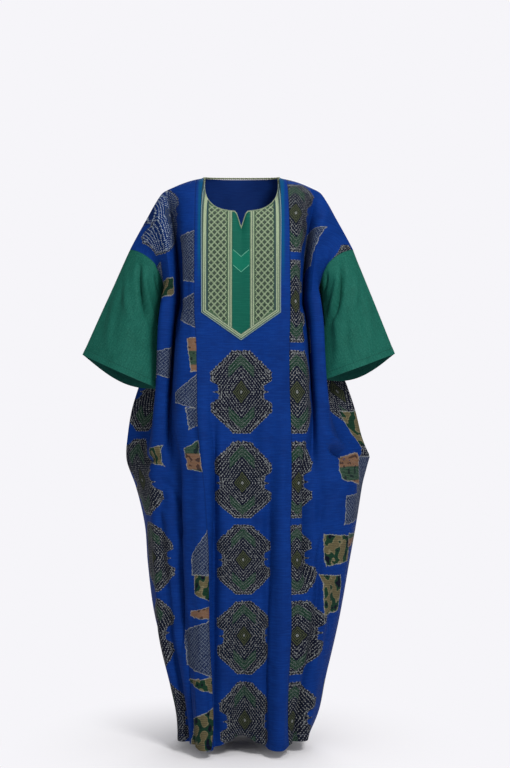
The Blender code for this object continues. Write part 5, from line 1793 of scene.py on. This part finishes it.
def trim_pieces(front, back, front_normals, back_normals):
    """The lattice, braids and stitches of the placket, and the edging and braid of the neck."""
    grid, normals, u, v = [a[:, PANEL_SPAN] for a in (front.grid, front_normals, front.u, front.v)]
    panel = Panel(grid, normals, u[0], v)
    sage = cord_material("cord_sage", SAGE, SAGE_DARK, 0.0034)
    cool = cord_material("cord_cool", SAGE_COOL, SAGE_COOL_DARK, 0.0034)
    dark = satin_material("satin_dark", DIAMOND, DIAMOND_DARK)
    ground = satin_material("braid_ground", BAND, BAND_DARK)
    gold = cord_material("cord_gold", CORD_GOLD, CORD_GOLD_DARK, 0.0022)
    olive = cord_material("cord_olive", OLIVE, OLIVE_DARK, 0.0022)
    thin = cord_material("cord_thin", MINT, MINT_DARK)
    trims = [lattice(panel, [sage, dark])]
    trims += placket_braids(panel, [sage, cool, ground])
    trims.append(strip_stitches(panel, [thin]))
    columns = slice(TIP_COLUMN - NECK_COLUMN, TIP_COLUMN + NECK_COLUMN + 1)
    grids = [cloth.grid[:, columns] for cloth in (front, back)]
    normals = [values[:, columns] for values in (front_normals, back_normals)]
    path, across, up = neck_path(grids, normals)
    trims.append(neck_edging(path + up * (CLOTH / 2), across, up, [gold, olive]))
    trims.append(neck_band(grids, normals, [ground, sage]))
    return trims


def build():
    front = body_cloth("front", FRONT_CREASES, SLACK_SEED)
    back = body_cloth("back", BACK_CREASES, SLACK_SEED + 1)
    sleeves = {cuff.side: sleeve_cloth(cuff, front, back) for cuff in CUFFS}
    grids = {side: cloth.grid for side, cloth in sleeves.items()}
    front_normals, back_normals, sleeve_normals = joined_normals(front.grid, back.grid, grids)
    pieces = printed_pieces(front, back, front_normals, back_normals)
    pieces.update(sleeve_pieces(sleeves, sleeve_normals))
    pieces["placket"] = placket_piece(front, front_normals)
    trims = trim_pieces(front, back, front_normals, back_normals)
    for node, piece in pieces.items():
        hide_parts(node)


FLOOR_Z = -1.468
FLOOR_RADIUS = 9.0
FLOOR_CORNERS = 96
FLOOR_PLAIN = (0.0, 0.62)
FLOOR_COLOUR, BACKDROP = linear(250, 248, 250), linear(246, 245, 249)
AMBIENT = 0.12
AMBIENT_COLOUR = (1.0, 0.995, 1.0)

SENSOR_WIDTH = 36.0
CAMERA_PLACE = (0.035, -3.6, -0.533)
CAMERA_LENS = 36 * 1385 / 768
Lamp = namedtuple("Lamp", "name place aim size power")
LAMPS = [Lamp(*row) for row in (
    ("key", (1.3, -2.8, 1.5), (0.0, 0.0, -0.6), 1.1, 104),
    ("fill", (-0.5, -3.4, 1.0), (0.0, 0.0, -0.7), 1.4, 13),
    ("top", (0.0, -0.4, 2.6), (0.0, 0.0, -0.8), 2.0, 34),
    ("rear", (0.4, 3.2, 1.4), (0.0, 0.0, -0.8), 2.4, 60),
)]


def link(tree, *pairs):
    for start, end in pairs:
        tree.links.new(start, end)


def floor_material():
    """Pale floor that passes into the backdrop's own white away from the robe."""
    material = bpy.data.materials.new("floor")
    material.use_nodes = True
    tree = material.node_tree
    shader = tree.nodes["Principled BSDF"]
    shader.inputs["Base Color"].default_value = (*FLOOR_COLOUR, 1.0)
    shader.inputs["Roughness"].default_value = 0.85
    shader.inputs["Specular IOR Level"].default_value = 0.15
    glow = tree.nodes.new("ShaderNodeEmission")
    glow.inputs["Color"].default_value = (*BACKDROP, 1.0)
    place = tree.nodes.new("ShaderNodeTexCoord")
    length = tree.nodes.new("ShaderNodeVectorMath")
    length.operation = "LENGTH"
    reach = tree.nodes.new("ShaderNodeMapRange")
    reach.interpolation_type = "SMOOTHSTEP"
    reach.inputs["From Min"].default_value, reach.inputs["From Max"].default_value = FLOOR_PLAIN
    mixed = tree.nodes.new("ShaderNodeMixShader")
    link(
        tree,
        (place.outputs["Object"], length.inputs[0]),
        (length.outputs["Value"], reach.inputs["Value"]),
        (reach.outputs["Result"], mixed.inputs[0]),
        (shader.outputs[0], mixed.inputs[1]),
        (glow.outputs[0], mixed.inputs[2]),
        (mixed.outputs[0], tree.nodes["Material Output"].inputs["Surface"]),
    )
    return material


def placed(name, data, place):
    """An object of the stage, at its place in the scene."""
    made = bpy.data.objects.new(name, data)
    made.location = place
    bpy.context.scene.collection.objects.link(made)
    return made


def lay_floor():
    mesh = bpy.data.meshes.new("floor")
    turns = np.arange(FLOOR_CORNERS) * 2 * math.pi / FLOOR_CORNERS
    rim = [(FLOOR_RADIUS * math.cos(t), FLOOR_RADIUS * math.sin(t), 0.0) for t in turns]
    mesh.from_pydata(rim, [], [list(range(FLOOR_CORNERS))])
    mesh.materials.append(floor_material())
    placed("floor", mesh, (0, 0, FLOOR_Z))


def light_world():
    """A dim even light on the robe, before a backdrop that only the camera sees."""
    world = bpy.data.worlds.new("studio")
    bpy.context.scene.world = world
    world.use_nodes = True
    tree = world.node_tree
    light = tree.nodes["Background"]
    light.inputs["Color"].default_value = (*AMBIENT_COLOUR, 1.0)
    light.inputs["Strength"].default_value = AMBIENT
    seen = tree.nodes.new("ShaderNodeBackground")
    seen.inputs["Color"].default_value = (*BACKDROP, 1.0)
    path = tree.nodes.new("ShaderNodeLightPath")
    mixed = tree.nodes.new("ShaderNodeMixShader")
    link(
        tree,
        (path.outputs["Is Camera Ray"], mixed.inputs[0]),
        (light.outputs[0], mixed.inputs[1]),
        (seen.outputs[0], mixed.inputs[2]),
        (mixed.outputs[0], tree.nodes["World Output"].inputs["Surface"]),
    )


def set_lamp(lamp):
    data = bpy.data.lights.new(lamp.name, "AREA")
    data.shape = "DISK"
    data.size = lamp.size
    data.energy = lamp.power
    ahead = np.array(lamp.aim) - np.array(lamp.place)
    tilt = math.atan2(np.hypot(ahead[0], ahead[1]), -ahead[2])
    turn = math.atan2(ahead[1], ahead[0]) - math.pi / 2
    placed(lamp.name, data, lamp.place).rotation_euler = (tilt, 0.0, turn)


def stage():
    """Floor, world, lamps and camera."""
    lay_floor()
    light_world()
    for lamp in LAMPS:
        set_lamp(lamp)
    data = bpy.data.cameras.new("camera")
    data.lens = CAMERA_LENS
    data.sensor_width = SENSOR_WIDTH
    camera = placed("camera", data, CAMERA_PLACE)
    camera.rotation_euler = (math.pi / 2, 0.0, 0.0)
    bpy.context.scene.camera = camera
    bpy.context.scene.view_settings.view_transform = "Standard"


build()
stage()
